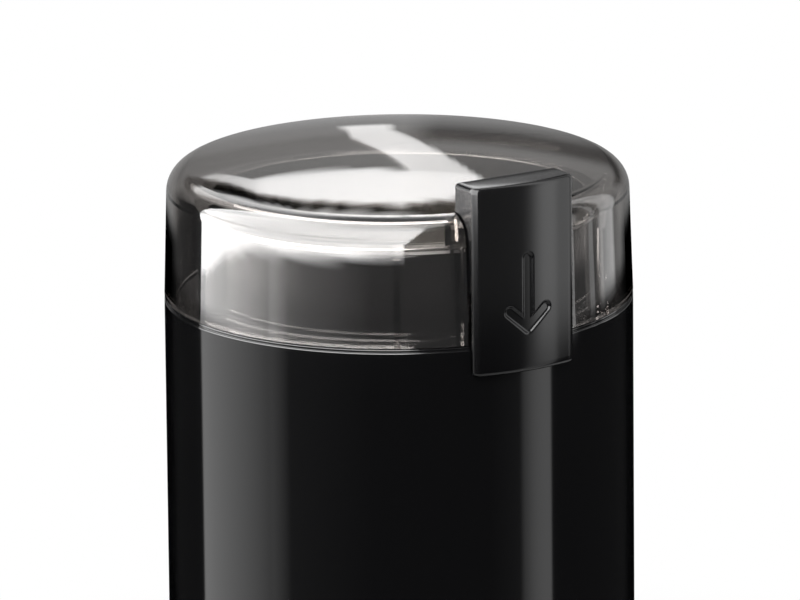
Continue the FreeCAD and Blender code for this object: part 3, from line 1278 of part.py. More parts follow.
def make_switch_screws():
    """Two screws for the switch and two for its bracket, all along Y."""
    switch_pair = []
    for index, x in enumerate(SWITCH_SCREW_X):
        shank = pin_along_y(f"switch_shank_{index}", "switch_screw_radius", f"-{SWITCH_FRONT}",
                            f"-{PLATE_BACK}", x, SWITCH_SCREW_Z)
        head = pin_along_y(f"switch_head_{index}", "switch_screw_radius * switch_head_ratio",
                           f"-{SWITCH_FRONT} - switch_head_height", f"-{SWITCH_FRONT}", x, SWITCH_SCREW_Z)
        switch_pair.append(joined(f"switch_screw_{index}", [shank, head]))
    carrier_pair = []
    for index, x in enumerate(PLATE_SCREW_X):
        shank = pin_along_y(f"carrier_shank_{index}", "switch_screw_radius", f"-{PLATE_FRONT}",
                            f"-{PLATE_BACK} + plate_screw_length", x, PLATE_SCREW_Z)
        head = pin_along_y(f"carrier_head_{index}", "switch_screw_radius * switch_head_ratio",
                           f"-{PLATE_FRONT} - switch_head_height", f"-{PLATE_FRONT}", x, PLATE_SCREW_Z)
        carrier_pair.append(joined(f"carrier_screw_{index}", [shank, head]))
    group("switch_screws", switch_pair)
    group("switch_bracket_screws", carrier_pair)


def make_terminal_block():
    """Two-pole mains terminal block on the floor of the base cover."""
    high = f"({BASE_HIGH} + terminal_height)"
    block = box("terminal_body", *TERMINAL_X, *TERMINAL_Y, BASE_HIGH, high)
    holes = []
    for index in (-1, 1):
        x = f"{index} * terminal_length / 4"
        middle = f"({BASE_HIGH} + terminal_height * terminal_bore_share)"
        holes.append(pin_along_y(f"terminal_bore_{index + 1}", "lead_radius + part_gap",
                                 f"{TERMINAL_Y[0]} - run_past", f"{TERMINAL_Y[1]} + run_past", x, middle))
        holes.append(post(f"terminal_well_{index + 1}", "screw_radius + running_gap",
                          middle, f"{high} + run_past", x, "-terminal_width / 2 - terminal_place"))
    return without("terminal_block", block, holes)


def make_terminal_screws():
    """Two clamping screws in the terminal block's wells."""
    screws = []
    high = f"({BASE_HIGH} + terminal_height)"
    low = f"({BASE_HIGH} + terminal_height * terminal_bore_share + lead_radius + part_gap)"
    for index in (-1, 1):
        screws.append(post(f"terminal_screw_{index + 1}", "screw_radius", low,
                           f"{high} - terminal_screw_sink", f"{index} * terminal_length / 4",
                           "-terminal_width / 2 - terminal_place"))
    return group("terminal_screws", screws)


def make_capacitor():
    """Boxed suppression capacitor on the floor of the base cover."""
    low_y = "capacitor_place"
    block = box("capacitor_body", "-capacitor_length / 2", "capacitor_length / 2", low_y,
                f"{low_y} + capacitor_width", BASE_HIGH, f"{BASE_HIGH} + capacitor_height")
    return rounded("suppression_capacitor", block, size("capacitor_corner"),
                   lambda edge: edge.BoundBox.ZLength > size("capacitor_height") - CLOSE)


def lead(name, points, bend):
    """A round insulated lead along straight runs with an arc at each inner point."""
    stations = [FreeCAD.Vector(*point) for point in points]
    edges = []
    start = stations[0]
    for before, corner, after in zip(stations, stations[1:], stations[2:]):
        back = (before - corner).normalize()
        onward = (after - corner).normalize()
        half_angle = back.getAngle(onward) / 2
        reach = bend / math.tan(half_angle)
        middle = (back + onward).normalize()
        arc_start = corner + back * reach
        arc_end = corner + onward * reach
        arc_middle = corner + middle * (bend / math.sin(half_angle) - bend)
        edges.append(Part.makeLine(start, arc_start))
        edges.append(Part.Arc(arc_start, arc_middle, arc_end).toShape())
        start = arc_end
    edges.append(Part.makeLine(start, stations[-1]))
    path = Part.Wire(edges)
    section = Part.Wire(Part.makeCircle(size("lead_radius"), stations[0], stations[1] - stations[0]))
    wire = doc.addObject("Part::Feature", name)
    wire.Shape = path.makePipeShell([section], True, False)
    return wire


def make_leads():
    """Two insulated leads: terminal block to switch, and terminal block to the right coil."""
    floor = size(f"{BASE_HIGH} + terminal_height * terminal_bore_share")
    front = size(TERMINAL_Y[0])
    quarter = size("terminal_length / 4")
    run = size("lead_run")
    climb = size("lead_climb")
    bend = size("lead_bend")
    inside = front + size("terminal_width") / 3
    tag_x = size("-lever_arm")
    tag_y = size(f"-{PLATE_FRONT} - switch_thickness / 2")
    tag_z = size(f"{SWITCH_LOW} - tag_length")
    lead("switch_lead", [(-quarter, inside, floor), (-quarter, front - run, floor),
                         (tag_x, tag_y, floor + climb), (tag_x, tag_y, tag_z)], bend)
    coil_x = size(f"({POLE_BORE} + coil_inset + {WINDOW_OUTER}) / 2")
    coil_y = size("-(pole_width / 2 + coil_thickness / 2)")
    coil_z = size(f"{CORE_LOW} - part_gap * 2 - coil_overhang")
    lead("coil_lead", [(quarter, inside, floor), (quarter, front - run / 2, floor),
                       (coil_x, coil_y - run / 3, floor + climb), (coil_x, coil_y, coil_z)], bend)


make_casing()
make_base_cover()
make_feet()
make_base_screws()
make_cord_gland()
make_bowl()
make_bowl_gasket()
make_bowl_screws()
make_shaft_seal()
make_upper_bracket()
make_bracket_washers()
make_bracket_screws()
make_bearings()
make_field_core()
make_field_coils()
make_lower_bracket()
make_brush_gear()
make_motor_bolts()
make_rotor()
make_blade()
make_blade_nut()
make_lid()
make_button()
make_return_springs()
make_switch_rod()
make_rod_spring()
make_switch_bracket()
make_microswitch()
make_switch_plunger()
make_switch_lever()
make_switch_screws()
make_terminal_block()
make_terminal_screws()
make_capacitor()
make_leads()
doc.recompute()

SUB_PARTS = [
    "casing", "base_cover", "foot_1", "foot_2", "foot_3", "foot_4", "base_screws", "cord_gland",
    "grinding_bowl", "bowl_gasket", "bowl_screws", "shaft_seal", "upper_bracket",
    "bracket_washers", "bracket_screws", "upper_bearing", "lower_bearing", "field_core",
    "field_coil_left", "field_coil_right", "lower_bracket", "brush_holder_front",
    "brush_holder_back", "carbon_brush_front", "carbon_brush_back", "brush_spring_front",
    "brush_spring_back", "motor_bolts", "motor_shaft", "armature_core", "armature_winding",
    "commutator", "cooling_fan", "thrust_washers", "blade", "blade_nut", "lid", "push_button",
    "return_spring_left", "return_spring_right", "switch_rod", "rod_spring", "switch_bracket",
    "switch_bracket_screws", "microswitch", "switch_plunger", "switch_lever", "switch_screws",
    "terminal_block", "terminal_screws", "suppression_capacitor", "switch_lead", "coil_lead",
]

for item in doc.Objects:
    if "Invalid" in item.State or "Error" in item.State:
        raise RuntimeError("failed: " + item.Name)

for node in SUB_PARTS:
    item = doc.getObject(node)
    item.Label = node
    if item.Shape.isNull() or not item.Shape.isValid():
        raise RuntimeError("bad shape: " + node)
    item.Shape.exportStep("parts/%s.step" % node)
    bounds = item.Shape.BoundBox
    print(node, len(item.Shape.Solids), round(item.Shape.Volume, 1),
          [round(value, 2) for value in (bounds.XMin, bounds.YMin, bounds.ZMin,
                                         bounds.XMax, bounds.YMax, bounds.ZMax)])
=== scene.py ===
import math

import bmesh
import bpy
import numpy as np
from mathutils import Matrix


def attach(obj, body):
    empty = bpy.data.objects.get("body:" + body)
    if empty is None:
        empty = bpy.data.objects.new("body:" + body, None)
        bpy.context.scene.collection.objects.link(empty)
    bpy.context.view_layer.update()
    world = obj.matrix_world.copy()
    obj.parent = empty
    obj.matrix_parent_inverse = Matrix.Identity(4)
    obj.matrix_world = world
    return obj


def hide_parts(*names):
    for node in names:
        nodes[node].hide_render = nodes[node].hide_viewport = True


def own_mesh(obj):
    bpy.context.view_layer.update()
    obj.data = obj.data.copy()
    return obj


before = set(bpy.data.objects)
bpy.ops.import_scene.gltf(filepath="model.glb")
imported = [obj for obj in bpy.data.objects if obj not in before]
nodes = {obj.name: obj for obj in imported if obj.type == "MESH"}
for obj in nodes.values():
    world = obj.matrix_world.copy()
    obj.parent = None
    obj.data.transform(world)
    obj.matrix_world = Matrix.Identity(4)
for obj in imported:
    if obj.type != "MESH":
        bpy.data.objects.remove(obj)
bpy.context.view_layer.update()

# Camera. It stands 14.6 degrees above the rim and 31.5 degrees round from the push button, far
# off, behind a long lens, as a product photographer sets it. Lengths here are in metres.
RIM_HEIGHT = 0.131
CAMERA_DISTANCE = 1.85
CAMERA_ROUND = math.radians(-31.5)
CAMERA_ABOVE = math.radians(14.6)
CAMERA_ROLL = math.radians(0.56)
FOCAL_PIXELS = 10200.0
RIM_PIXEL = (-1.2, 9.7)

level_right = np.array([math.cos(CAMERA_ROUND), math.sin(CAMERA_ROUND), 0.0])
level_back = np.array([math.sin(CAMERA_ROUND), -math.cos(CAMERA_ROUND), 0.0])
back = level_back * math.cos(CAMERA_ABOVE) + np.array([0.0, 0.0, math.sin(CAMERA_ABOVE)])
level_up = np.cross(back, level_right)
camera_right = level_right * math.cos(CAMERA_ROLL) - level_up * math.sin(CAMERA_ROLL)
camera_up = level_up * math.cos(CAMERA_ROLL) + level_right * math.sin(CAMERA_ROLL)
aim = -(camera_right * RIM_PIXEL[0] + camera_up * RIM_PIXEL[1]) * CAMERA_DISTANCE / FOCAL_PIXELS
camera_place = np.array([0.0, 0.0, RIM_HEIGHT]) + aim + back * CAMERA_DISTANCE
camera_data = bpy.data.cameras.new("camera")
camera_data.sensor_width = 36.0
camera_data.lens = FOCAL_PIXELS * camera_data.sensor_width / 800
camera_data.clip_start = 0.01
camera = bpy.data.objects.new("camera", camera_data)
bpy.context.scene.collection.objects.link(camera)
pose = np.eye(4)
pose[:3, 0], pose[:3, 1], pose[:3, 2], pose[:3, 3] = camera_right, camera_up, back, camera_place
camera.matrix_world = Matrix(pose.tolist())
bpy.context.scene.camera = camera
bpy.context.scene.view_settings.view_transform = "Standard"


# Studio. A pale floor that turns white away from the object, a white surround, three large soft
# lamps, and a tent of black felt with lit cards in it that only shiny and clear surfaces see.
class Wire:
    """A socket in a node tree. Sums and products of wires and numbers add Math nodes."""

    def __init__(self, tree, socket=None):
        self.tree = tree
        self.socket = socket

    def node(self, kind, settings=None, values=None, output=0):
        """Adds a node of this kind, sets it up, then fills its sockets with values or wires."""
        made = self.tree.nodes.new(kind)
        for name, value in (settings or {}).items():
            setattr(made, name, value)
        for name, value in (values or {}).items():
            if isinstance(value, Wire):
                self.tree.links.new(value.socket, made.inputs[name])
            else:
                made.inputs[name].default_value = value
        return Wire(self.tree, made.outputs[output])

    def into(self, node, name):
        """Links this wire into a socket of a node that is already there."""
        self.tree.links.new(self.socket, node.inputs[name])

    def maths(self, operation, first, second):
        """One Math node."""
        return self.node("ShaderNodeMath", {"operation": operation}, {0: first, 1: second})

    def __add__(self, other):
        return self.maths("ADD", self, other)

    def __mul__(self, other):
        return self.maths("MULTIPLY", self, other)

    __radd__ = __add__
    __rmul__ = __mul__

    def clamped(self, low, high):
        """This wire kept between two numbers, eased from 0 at low to 1 at high."""
        return self.node("ShaderNodeMapRange", {"interpolation_type": "SMOOTHSTEP"},
                         {"Value": self, "From Min": low, "From Max": high})

    def between(self, first, second):
        """The colour this far, from 0 to 1, between two. A Mix node takes its colours at sockets 6
        and 7 and gives one at socket 2."""
        return self.node("ShaderNodeMix", {"data_type": "RGBA"},
                         {"Factor": self, 6: first, 7: second}, 2)

    def noise(self, scale, detail):
        """Noise at the places this wire gives, with so many bumps in a metre."""
        return self.node("ShaderNodeTexNoise", {}, {
            "Vector": self, "Scale": scale, "Detail": detail})

    def lifting(self, depth):
        """The normal of a surface that this wire lifts by a depth in micrometres."""
        return self.node("ShaderNodeBump", {}, {
            "Strength": 1.0, "Distance": depth * 1e-6, "Height": self})


def seen_directly(tree):
    """1 for rays from the camera, from shiny surfaces and through clear ones, 0 for the rest."""
    start = Wire(tree)
    path = tree.nodes.new("ShaderNodeLightPath")
    kinds = [Wire(tree, path.outputs[kind])
             for kind in ("Is Camera Ray", "Is Glossy Ray", "Is Transmission Ray")]
    return start.maths("MINIMUM", kinds[0] + kinds[1] + kinds[2], 1.0)


def grid_mesh(name, parts):
    """Mesh of one or more grids of points in millimetres. Each part is (points, rows joined,
    columns joined): points[i, j] is joined to its neighbours by quads, and round to the start
    where joined says so. Points that meet, at poles and seams, are merged."""
    corners, faces, start = [], [], 0
    for points, rows_joined, columns_joined in parts:
        rows, columns = points.shape[:2]
        index = np.arange(rows * columns).reshape(rows, columns) + start
        if rows_joined:
            index = np.vstack([index, index[:1]])
        if columns_joined:
            index = np.hstack([index, index[:, :1]])
        quads = np.stack([index[:-1, :-1], index[:-1, 1:], index[1:, 1:], index[1:, :-1]], -1)
        corners.append(points.reshape(-1, 3) * 0.001)
        faces.append(quads.reshape(-1, 4))
        start += rows * columns
    mesh = bpy.data.meshes.new(name)
    mesh.from_pydata(np.concatenate(corners).tolist(), [], np.concatenate(faces).tolist())
    merged = bmesh.new()
    merged.from_mesh(mesh)
    bmesh.ops.remove_doubles(merged, verts=merged.verts, dist=2e-7)
    bmesh.ops.dissolve_degenerate(merged, edges=merged.edges, dist=1e-8)
    merged.to_mesh(mesh)
    merged.free()
    mesh.polygons.foreach_set("use_smooth", np.ones(len(mesh.polygons), bool))
    return mesh


def staged(name, mesh, finish):
    """Puts a thing of the studio into the scene."""
    made = bpy.data.objects.new(name, mesh)
    mesh.materials.append(finish)
    bpy.context.scene.collection.objects.link(made)
    return made


def ring_of(radii, heights, turns=192):
    """Points of a surface of revolution: row i is the circle of radius radii[i] at heights[i]."""
    angle = np.linspace(0.0, 2 * math.pi, turns, endpoint=False)
    radii, heights = np.asarray(radii, float)[:, None], np.asarray(heights, float)[:, None]
    return np.stack([radii * np.cos(angle), radii * np.sin(angle), heights + 0 * angle], -1)


FLOOR_RADIUS = 700.0
FLOOR_PLAIN = 0.13
FLOOR_WHITE = 0.27
floor_finish = bpy.data.materials.new("studio floor")
floor_finish.use_nodes = True
tree = floor_finish.node_tree
tree.nodes.remove(tree.nodes["Principled BSDF"])
place = Wire(tree).node("ShaderNodeTexCoord", output="Object")
distance = place.node("ShaderNodeVectorMath", {"operation": "LENGTH"}, {0: place}, "Value")
paint = place.noise(90.0, 5.0).between((0.78, 0.78, 0.78, 1.0), (0.82, 0.82, 0.815, 1.0))
matt = place.node("ShaderNodeBsdfDiffuse", {}, {"Color": paint})
white = place.node("ShaderNodeEmission", {}, {"Strength": 1.0})
share = distance.clamped(FLOOR_PLAIN, FLOOR_WHITE) * seen_directly(tree)
mixed = place.node("ShaderNodeMixShader", {}, {"Fac": share, 1: matt, 2: white})
mixed.into(tree.nodes["Material Output"], "Surface")
staged("floor", grid_mesh("floor", [
    (ring_of(np.linspace(FLOOR_RADIUS, 0.0, 24), np.zeros(24), 96), False, True)]), floor_finish)

WORLD_LIGHT = 0.45
world = bpy.data.worlds.new("studio")
world.use_nodes = True
bpy.context.scene.world = world
tree = world.node_tree
start = Wire(tree)
soft = start.node("ShaderNodeBackground", {}, {"Strength": WORLD_LIGHT})
plain = start.node("ShaderNodeBackground", {}, {"Color": (1.0, 1.0, 1.0, 1.0), "Strength": 1.0})
mixed = start.node("ShaderNodeMixShader", {}, {"Fac": seen_directly(tree), 1: soft, 2: plain})
mixed.into(tree.nodes["World Output"], "Surface")

for name, where, wide, power in (("key", (-1.0, -0.9, 1.3), 0.9, 17.0),
                                 ("fill", (1.3, -0.5, 0.9), 1.0, 8.0),
                                 ("behind", (0.3, 1.3, 1.2), 1.0, 9.0)):
    lamp = bpy.data.lights.new(name, "AREA")
    lamp.shape = "DISK"
    lamp.size = wide
    lamp.energy = power
    holder = bpy.data.objects.new(name, lamp)
    bpy.context.scene.collection.objects.link(holder)
    facing = np.array(where) - np.array([0.0, 0.0, 0.08])
    facing = facing / np.linalg.norm(facing)
    side = np.cross([0.0, 0.0, 1.0], facing)
    side = side / np.linalg.norm(side)
    over = np.cross(facing, side)
    pose = np.eye(4)
    pose[:3, 0], pose[:3, 1], pose[:3, 2], pose[:3, 3] = side, over, facing, where
    holder.matrix_world = Matrix(pose.tolist())
    holder.visible_camera = False
    holder.visible_glossy = False

# The felt tent stands 200 mm from the axis and closes over the object. Only shiny and clear
# things see it. Its cards glow by their angle round from the camera, height and angle above.
TENT_RADIUS = 200.0
TENT_WALL = 165.0
TENT_MIDDLE = 150.0
LID_LEVEL = 95.0
CARD_EDGE = -103.9
WALL_ROWS = 84
ROOF_ROWS = 60
TENT_TURNS = 720
tent_rise = np.linspace(0.0, math.pi / 2, ROOF_ROWS)[1:]
tent_radii = np.concatenate([np.full(WALL_ROWS, TENT_RADIUS), TENT_RADIUS * np.cos(tent_rise)])
tent_heights = np.concatenate([np.linspace(1.0, TENT_WALL, WALL_ROWS),
                               TENT_WALL + TENT_RADIUS * np.sin(tent_rise)])
tent_mesh = grid_mesh("tent", [
    (ring_of(tent_radii[::-1], tent_heights[::-1], TENT_TURNS), False, True)])


def past(value, edge, blur):
    """0 below the edge and 1 above it, in a straight ramp as wide as blur."""
    return np.clip((value - edge) / blur + 0.5, 0.0, 1.0)


def card(turn, sharp, width, power):
    """A card with one sharp edge: 1 there, and 1 less a power of the share of the width past it."""
    way = (turn - sharp) / width
    return (1 - np.clip(way, 0.0, 1.0) ** power) * past(way * abs(width), 0.0, 0.6)


def tent_glow(spots):
    """Strength of the tent's cards at points in millimetres, from the angle round in degrees, the
    sideways distance, the height, and the angle above the lid. The numbers in the lists are where
    the edges of the cards bend, and how bright they are there."""
    turn = np.degrees(np.arctan2(spots @ level_right, spots @ level_back))
    sideways = spots @ level_right
    height = spots[:, 2]
    above = np.degrees(np.arctan2(height - TENT_MIDDLE, np.hypot(spots[:, 0], spots[:, 1])))

    # Cards round the sides, which give the housing its upright lines. Above the lid's level they
    # are brighter, and the button and the lid's right edge have cards of their own.
    for_lid = past(height, LID_LEVEL, 4.0)
    left = card(turn, CARD_EDGE, 54.0, 2.5)
    tail = card(turn, -60.0, 48.0, 0.8)
    right = card(turn, 71.8, -17.0, 3.0) + 0.07 * card(turn, 58.0, -18.0, 0.8)
    glow = 0.02 + left * (1.8 + 3.6 * for_lid) + tail * (0.14 + 1.3 * for_lid) + 1.4 * right
    glow = glow + for_lid * np.interp(turn, [-110.0, -100.0, 110.0, 140.0], [0.08, 0.3, 0.3, 0.6])
    for_button = past(height, 88.0, 6.0) * past(turn, 61.0, 6.0) * past(-turn, -88.0, 5.0)
    thin_streak = past(np.abs(turn - 100.4), 1.8, -0.8) * 1.3
    wide_streak = past(np.abs(turn - 115.0), 7.5, -3.0) * 1.8
    glow = glow + for_button * 2.2 + (thin_streak + wide_streak) * for_lid

    # Bank in front, which the bowl and the lid's shoulder show as a bright band with a dark line.
    foot = np.interp(turn, [-104.0, -86.0, -69.0, -3.0], [101.8, 108.9, 113.4, 118.0])
    end = np.interp(above, [-9.0, 10.0, 50.0], [2.4, 6.0, 15.0])
    soft = np.interp(above, [45.0, 65.0], [1.0, 60.0])
    front = past(height, foot, 2.0) * past(turn, CARD_EDGE, 0.7 * soft) * past(-turn, -end, soft)
    line = np.interp(turn, [-104.0, 0.0], [2.6, 0.6])
    front = front * (1 - 0.62 * past(above, 6.6 - line, 0.6) * past(-above, -6.6 - line, 0.6))
    glow = glow * (1 - front) + front * np.interp(above, [50.0, 75.0], [14.0, 3.0])

    # Behind the grinder, where the dome's top looks: a dim backdrop, a slanting sweep, a wide band
    # between two edges, and a second bank higher up.
    ahead = past(np.abs(turn), 135.0, np.interp(above, [45.0, 65.0], [10.0, 120.0]))
    backdrop = past(height, 102.0, 5.0)
    pale = np.interp(above, [0.0, 9.0, 12.0, 18.0, 21.0, 25.0], [0.42, 0.36, 0.28, 0.33, 0.55, 0.6])
    dim = np.interp(above, [0.0, 5.0, 9.0, 13.0, 17.0, 25.0], [0.32, 0.25, 0.08, 0.05, 0.4, 0.4])
    to_right = past(sideways, 6.0, 8.0)
    plain = backdrop * (pale * (1 - to_right) + dim * to_right)
    low_edge = np.interp(sideways, [-62.0, -55.0, -48.0, -16.0, 0.0, 40.0],
                         [19.0, 21.0, 26.2, 27.0, 28.4, 29.0])
    high_edge = np.interp(sideways, [-62.0, -58.0, -49.0, -36.0, -18.0, 1.0, 16.0, 24.0],
                          [18.0, 23.0, 31.6, 36.7, 40.0, 41.5, 39.3, 38.0])
    next_edge = np.interp(sideways, [-62.0, -58.0, -50.0, -37.0, -18.7, 1.0, 16.0, 24.0],
                          [25.5, 28.5, 34.0, 39.5, 42.5, 44.0, 45.0, 45.0])
    right_end = np.interp(above, [8.9, 15.5, 22.9, 30.0, 40.0], [-1.4, 6.6, 16.7, 28.4, 46.0])
    left_end = np.interp(above, [5.0, 12.8, 28.6, 38.7], [-14.2, -12.7, 3.8, 18.0])
    in_end = past(-sideways, -right_end, 1.5)
    sweep = past(sideways, left_end, 1.0) * in_end * past(above, 5.0, 2.0)
    wide = past(above, low_edge, 0.8) * in_end
    closed = past(-above, -high_edge, 1.0)
    strong = np.interp(above, [26.0, 40.0], [3.0, 5.0])
    strong = strong * np.interp(sideways, [-57.0, -46.0], [0.4, 1.0])
    behind = (plain * (1 - past(above, high_edge, 1.0))
              + (sweep * np.interp(above, [8.0, 16.0, 28.0], [1.25, 1.7, 2.5]) * (1 - wide)
                 + wide * strong) * closed)
    behind = behind + past(above, next_edge, 1.0) * past(-sideways, -60.0, 20.0) * np.interp(
        above, [29.0, 45.0, 60.0, 80.0], [3.0, 4.4, 9.0, 3.0])
    zenith = past(above, 72.0, 24.0)
    return (glow * (1 - ahead) + behind * ahead) * (1 - zenith) + 1.3 * zenith


spots = np.empty(len(tent_mesh.vertices) * 3)
tent_mesh.vertices.foreach_get("co", spots)
tent_mesh.attributes.new("glow", "FLOAT", "POINT").data.foreach_set(
    "value", tent_glow(spots.reshape(-1, 3) * 1000))
tent_finish = bpy.data.materials.new("studio tent")
tent_finish.use_nodes = True
tree = tent_finish.node_tree
tree.nodes.remove(tree.nodes["Principled BSDF"])
lit = Wire(tree).node("ShaderNodeAttribute", {"attribute_name": "glow"}, output="Fac")
lit.node("ShaderNodeEmission", {}, {"Strength": lit}).into(tree.nodes["Material Output"], "Surface")
tent_finish.cycles.emission_sampling = "NONE"
tent = staged("tent", tent_mesh, tent_finish)
for kind in ("camera", "diffuse", "shadow", "volume_scatter"):
    setattr(tent, f"visible_{kind}", False)


# Housing: one thin-walled moulding in glossy black ABS, with a rebate that centres the lid, a
# flat deck, and a collar that carries the bowl. The mould's fine ripple and wiping marks show.
def rounded(corners, steps=5):
    """Closed profile through corners (radius, height, fillet) as two arrays. Each fillet is an arc
    tangent to both runs, and two more points hold the runs flat up to it."""
    spots = np.array([corner[:2] for corner in corners], float)
    rows = []
    for number, (radius, height, fillet) in enumerate(corners):
        here = spots[number]
        if fillet == 0:
            rows.append(here[None])
            continue
        before = spots[number - 1] - here
        after = spots[(number + 1) % len(corners)] - here
        reach = min(np.linalg.norm(before), np.linalg.norm(after)) / 2
        before, after = before / np.linalg.norm(before), after / np.linalg.norm(after)
        half = math.acos(np.clip(before @ after, -1.0, 1.0)) / 2
        tangent = min(fillet / math.tan(half), reach * 0.9)
        fillet = tangent * math.tan(half)
        middle = here + (before + after) / np.linalg.norm(before + after) * fillet / math.sin(half)
        first, last = here + before * tangent - middle, here + after * tangent - middle
        sweep = math.acos(np.clip(first @ last / fillet ** 2, -1.0, 1.0))
        way = np.linspace(0.0, 1.0, steps + 1)[:, None]
        arc = (np.sin((1 - way) * sweep) * first + np.sin(way * sweep) * last) / math.sin(sweep)
        hold = min(0.25, (reach - tangent) * 0.5)
        rows.append(np.vstack([here + before * (tangent + hold), middle + arc,
                               here + after * (tangent + hold)]))
    profile = np.vstack(rows)
    return profile[:, 0], profile[:, 1]


def piece(name, parts, finish, body, replaced=()):
    """Makes a piece of the object from grids of points and puts it on its body."""
    mesh = parts if isinstance(parts, bpy.types.Mesh) else grid_mesh(name, parts)
    mesh.materials.append(finish)
    made = bpy.data.objects.new(name, mesh)
    bpy.context.scene.collection.objects.link(made)
    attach(made, body)
    if replaced:
        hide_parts(*replaced)
    return made


def cut(mesh, *cutters, sharp=35.0):
    """The mesh less the closed cutters, with edges over the sharp angle left sharp."""
    whole = bpy.data.objects.new("whole", mesh)
    bpy.context.scene.collection.objects.link(whole)
    tools = []
    for shape in cutters:
        tool = bpy.data.objects.new("cutter", shape)
        bpy.context.scene.collection.objects.link(tool)
        bite = whole.modifiers.new("bite", "BOOLEAN")
        bite.object = tool
        bite.solver = "EXACT"
        tools.append(tool)
    bpy.context.view_layer.update()
    seen = whole.evaluated_get(bpy.context.evaluated_depsgraph_get())
    result = bpy.data.meshes.new_from_object(seen)
    for thing in [whole] + tools:
        bpy.data.objects.remove(thing)
    result.set_sharp_from_angle(angle=math.radians(sharp))
    return result


def eased(name, node, width, body, finish):
    """Copy of a CAD node with its corners over 30 degrees rounded to the width in millimetres."""
    mesh = nodes[node].data.copy()
    mesh.materials.clear()
    merged = bmesh.new()
    merged.from_mesh(mesh)
    bmesh.ops.remove_doubles(merged, verts=merged.verts, dist=1e-6)
    bmesh.ops.dissolve_limit(merged, angle_limit=math.radians(1.0), verts=merged.verts,
                             edges=merged.edges)
    merged.to_mesh(mesh)
    merged.free()
    mesh.polygons.foreach_set("use_smooth", np.ones(len(mesh.polygons), bool))
    mesh.set_sharp_from_angle(angle=math.radians(35.0))
    made = piece(name, mesh, finish, body, [node])
    bevel = made.modifiers.new("corners", "BEVEL")
    bevel.width = width * 0.001
    bevel.segments = 3
    bevel.limit_method = "ANGLE"
    bevel.angle_limit = math.radians(30.0)
    bevel.harden_normals = True
    return made


def dress(finish, *names):
    """Gives CAD nodes that stay as they are their finish."""
    for name in names:
        for slot in nodes[name].material_slots:
            slot.material = finish


def new_finish(name):
    """A new material, its surface shader, and the wire of places on the object in metres."""
    finish = bpy.data.materials.new(name)
    finish.use_nodes = True
    place = Wire(finish.node_tree).node("ShaderNodeTexCoord", output="Object")
    return finish, finish.node_tree.nodes["Principled BSDF"], place


def moulded(name, colour, roughness, grain, depth, smudge=0.03, mottle=0.06, specular=0.5):
    """Moulded plastic or rubber: colour and roughness drift in soft clouds, wiping leaves upright
    streaks of roughness, rubbed corners are paler and rougher, and noise of the grain's size in
    millimetres lifts the surface by depth in micrometres."""
    finish, shader, place = new_finish(name)
    clouds = place.noise(55.0, 6.0)
    lift = place.noise(1000.0 / grain, 3.0)
    dark = tuple(part * (1 - mottle) for part in colour) + (1.0,)
    pale = tuple(part * (1 + mottle) for part in colour) + (1.0,)
    rubbed = tuple(part * 1.7 + 0.006 for part in colour) + (1.0,)
    corner = place.node("ShaderNodeNewGeometry", output="Pointiness").clamped(0.505, 0.57)
    worn = corner * clouds.clamped(0.35, 0.65)
    worn.between(clouds.between(dark, pale), rubbed).into(shader, "Base Color")
    upright = place.node("ShaderNodeVectorMath", {"operation": "MULTIPLY"}, {
        0: place, 1: (1.0, 1.0, 0.06)})
    wiped = upright.noise(700.0, 4.0)
    rough = clouds * smudge + wiped * smudge + worn * 0.08 + (roughness - smudge)
    rough.into(shader, "Roughness")
    lift.lifting(depth).into(shader, "Normal")
    shader.inputs["Specular IOR Level"].default_value = specular
    return finish


black_gloss = moulded("glossy black abs", (0.0042, 0.0042, 0.0046), 0.075, 9.0, 1.6, 0.02)
OUTER_RADIUS = 42.5
INNER_RADIUS = 40.3
REBATE_RADIUS = 42.15
COLLAR_OUTER = 36.4
COLLAR_INNER = 34.6
SHELL_LOW = 4.5
REBATE_LOW = 130.4
DECK_HIGH = 131.0
DECK_LOW = 128.5
COLLAR_HIGH = 147.0
COLLAR_LOW = 120.5
shell = rounded([
    (INNER_RADIUS, SHELL_LOW, 0.3), (OUTER_RADIUS, SHELL_LOW, 0.5), (OUTER_RADIUS, 11.0, 0),
    (OUTER_RADIUS, 25.0, 0), (OUTER_RADIUS, REBATE_LOW, 0.3), (REBATE_RADIUS, REBATE_LOW, 0.05),
    (REBATE_RADIUS, DECK_HIGH, 0.18), (COLLAR_OUTER, DECK_HIGH, 0.5),
    (COLLAR_OUTER, COLLAR_HIGH, 0.4), (COLLAR_INNER, COLLAR_HIGH, 0.3),
    (COLLAR_INNER, COLLAR_LOW, 0.3), (COLLAR_OUTER, COLLAR_LOW, 0.3),
    (COLLAR_OUTER, DECK_LOW, 0.4), (INNER_RADIUS, DECK_LOW, 0.6), (INNER_RADIUS, 25.0, 0),
    (INNER_RADIUS, 11.0, 0)])


def lying(radii, distances, height, turns=96):
    """Points of a surface of revolution about the inlet's axis, which runs along Y at a height."""
    points = ring_of(radii, distances, turns)
    return np.stack([points[..., 0], points[..., 2], height - points[..., 1]], -1)


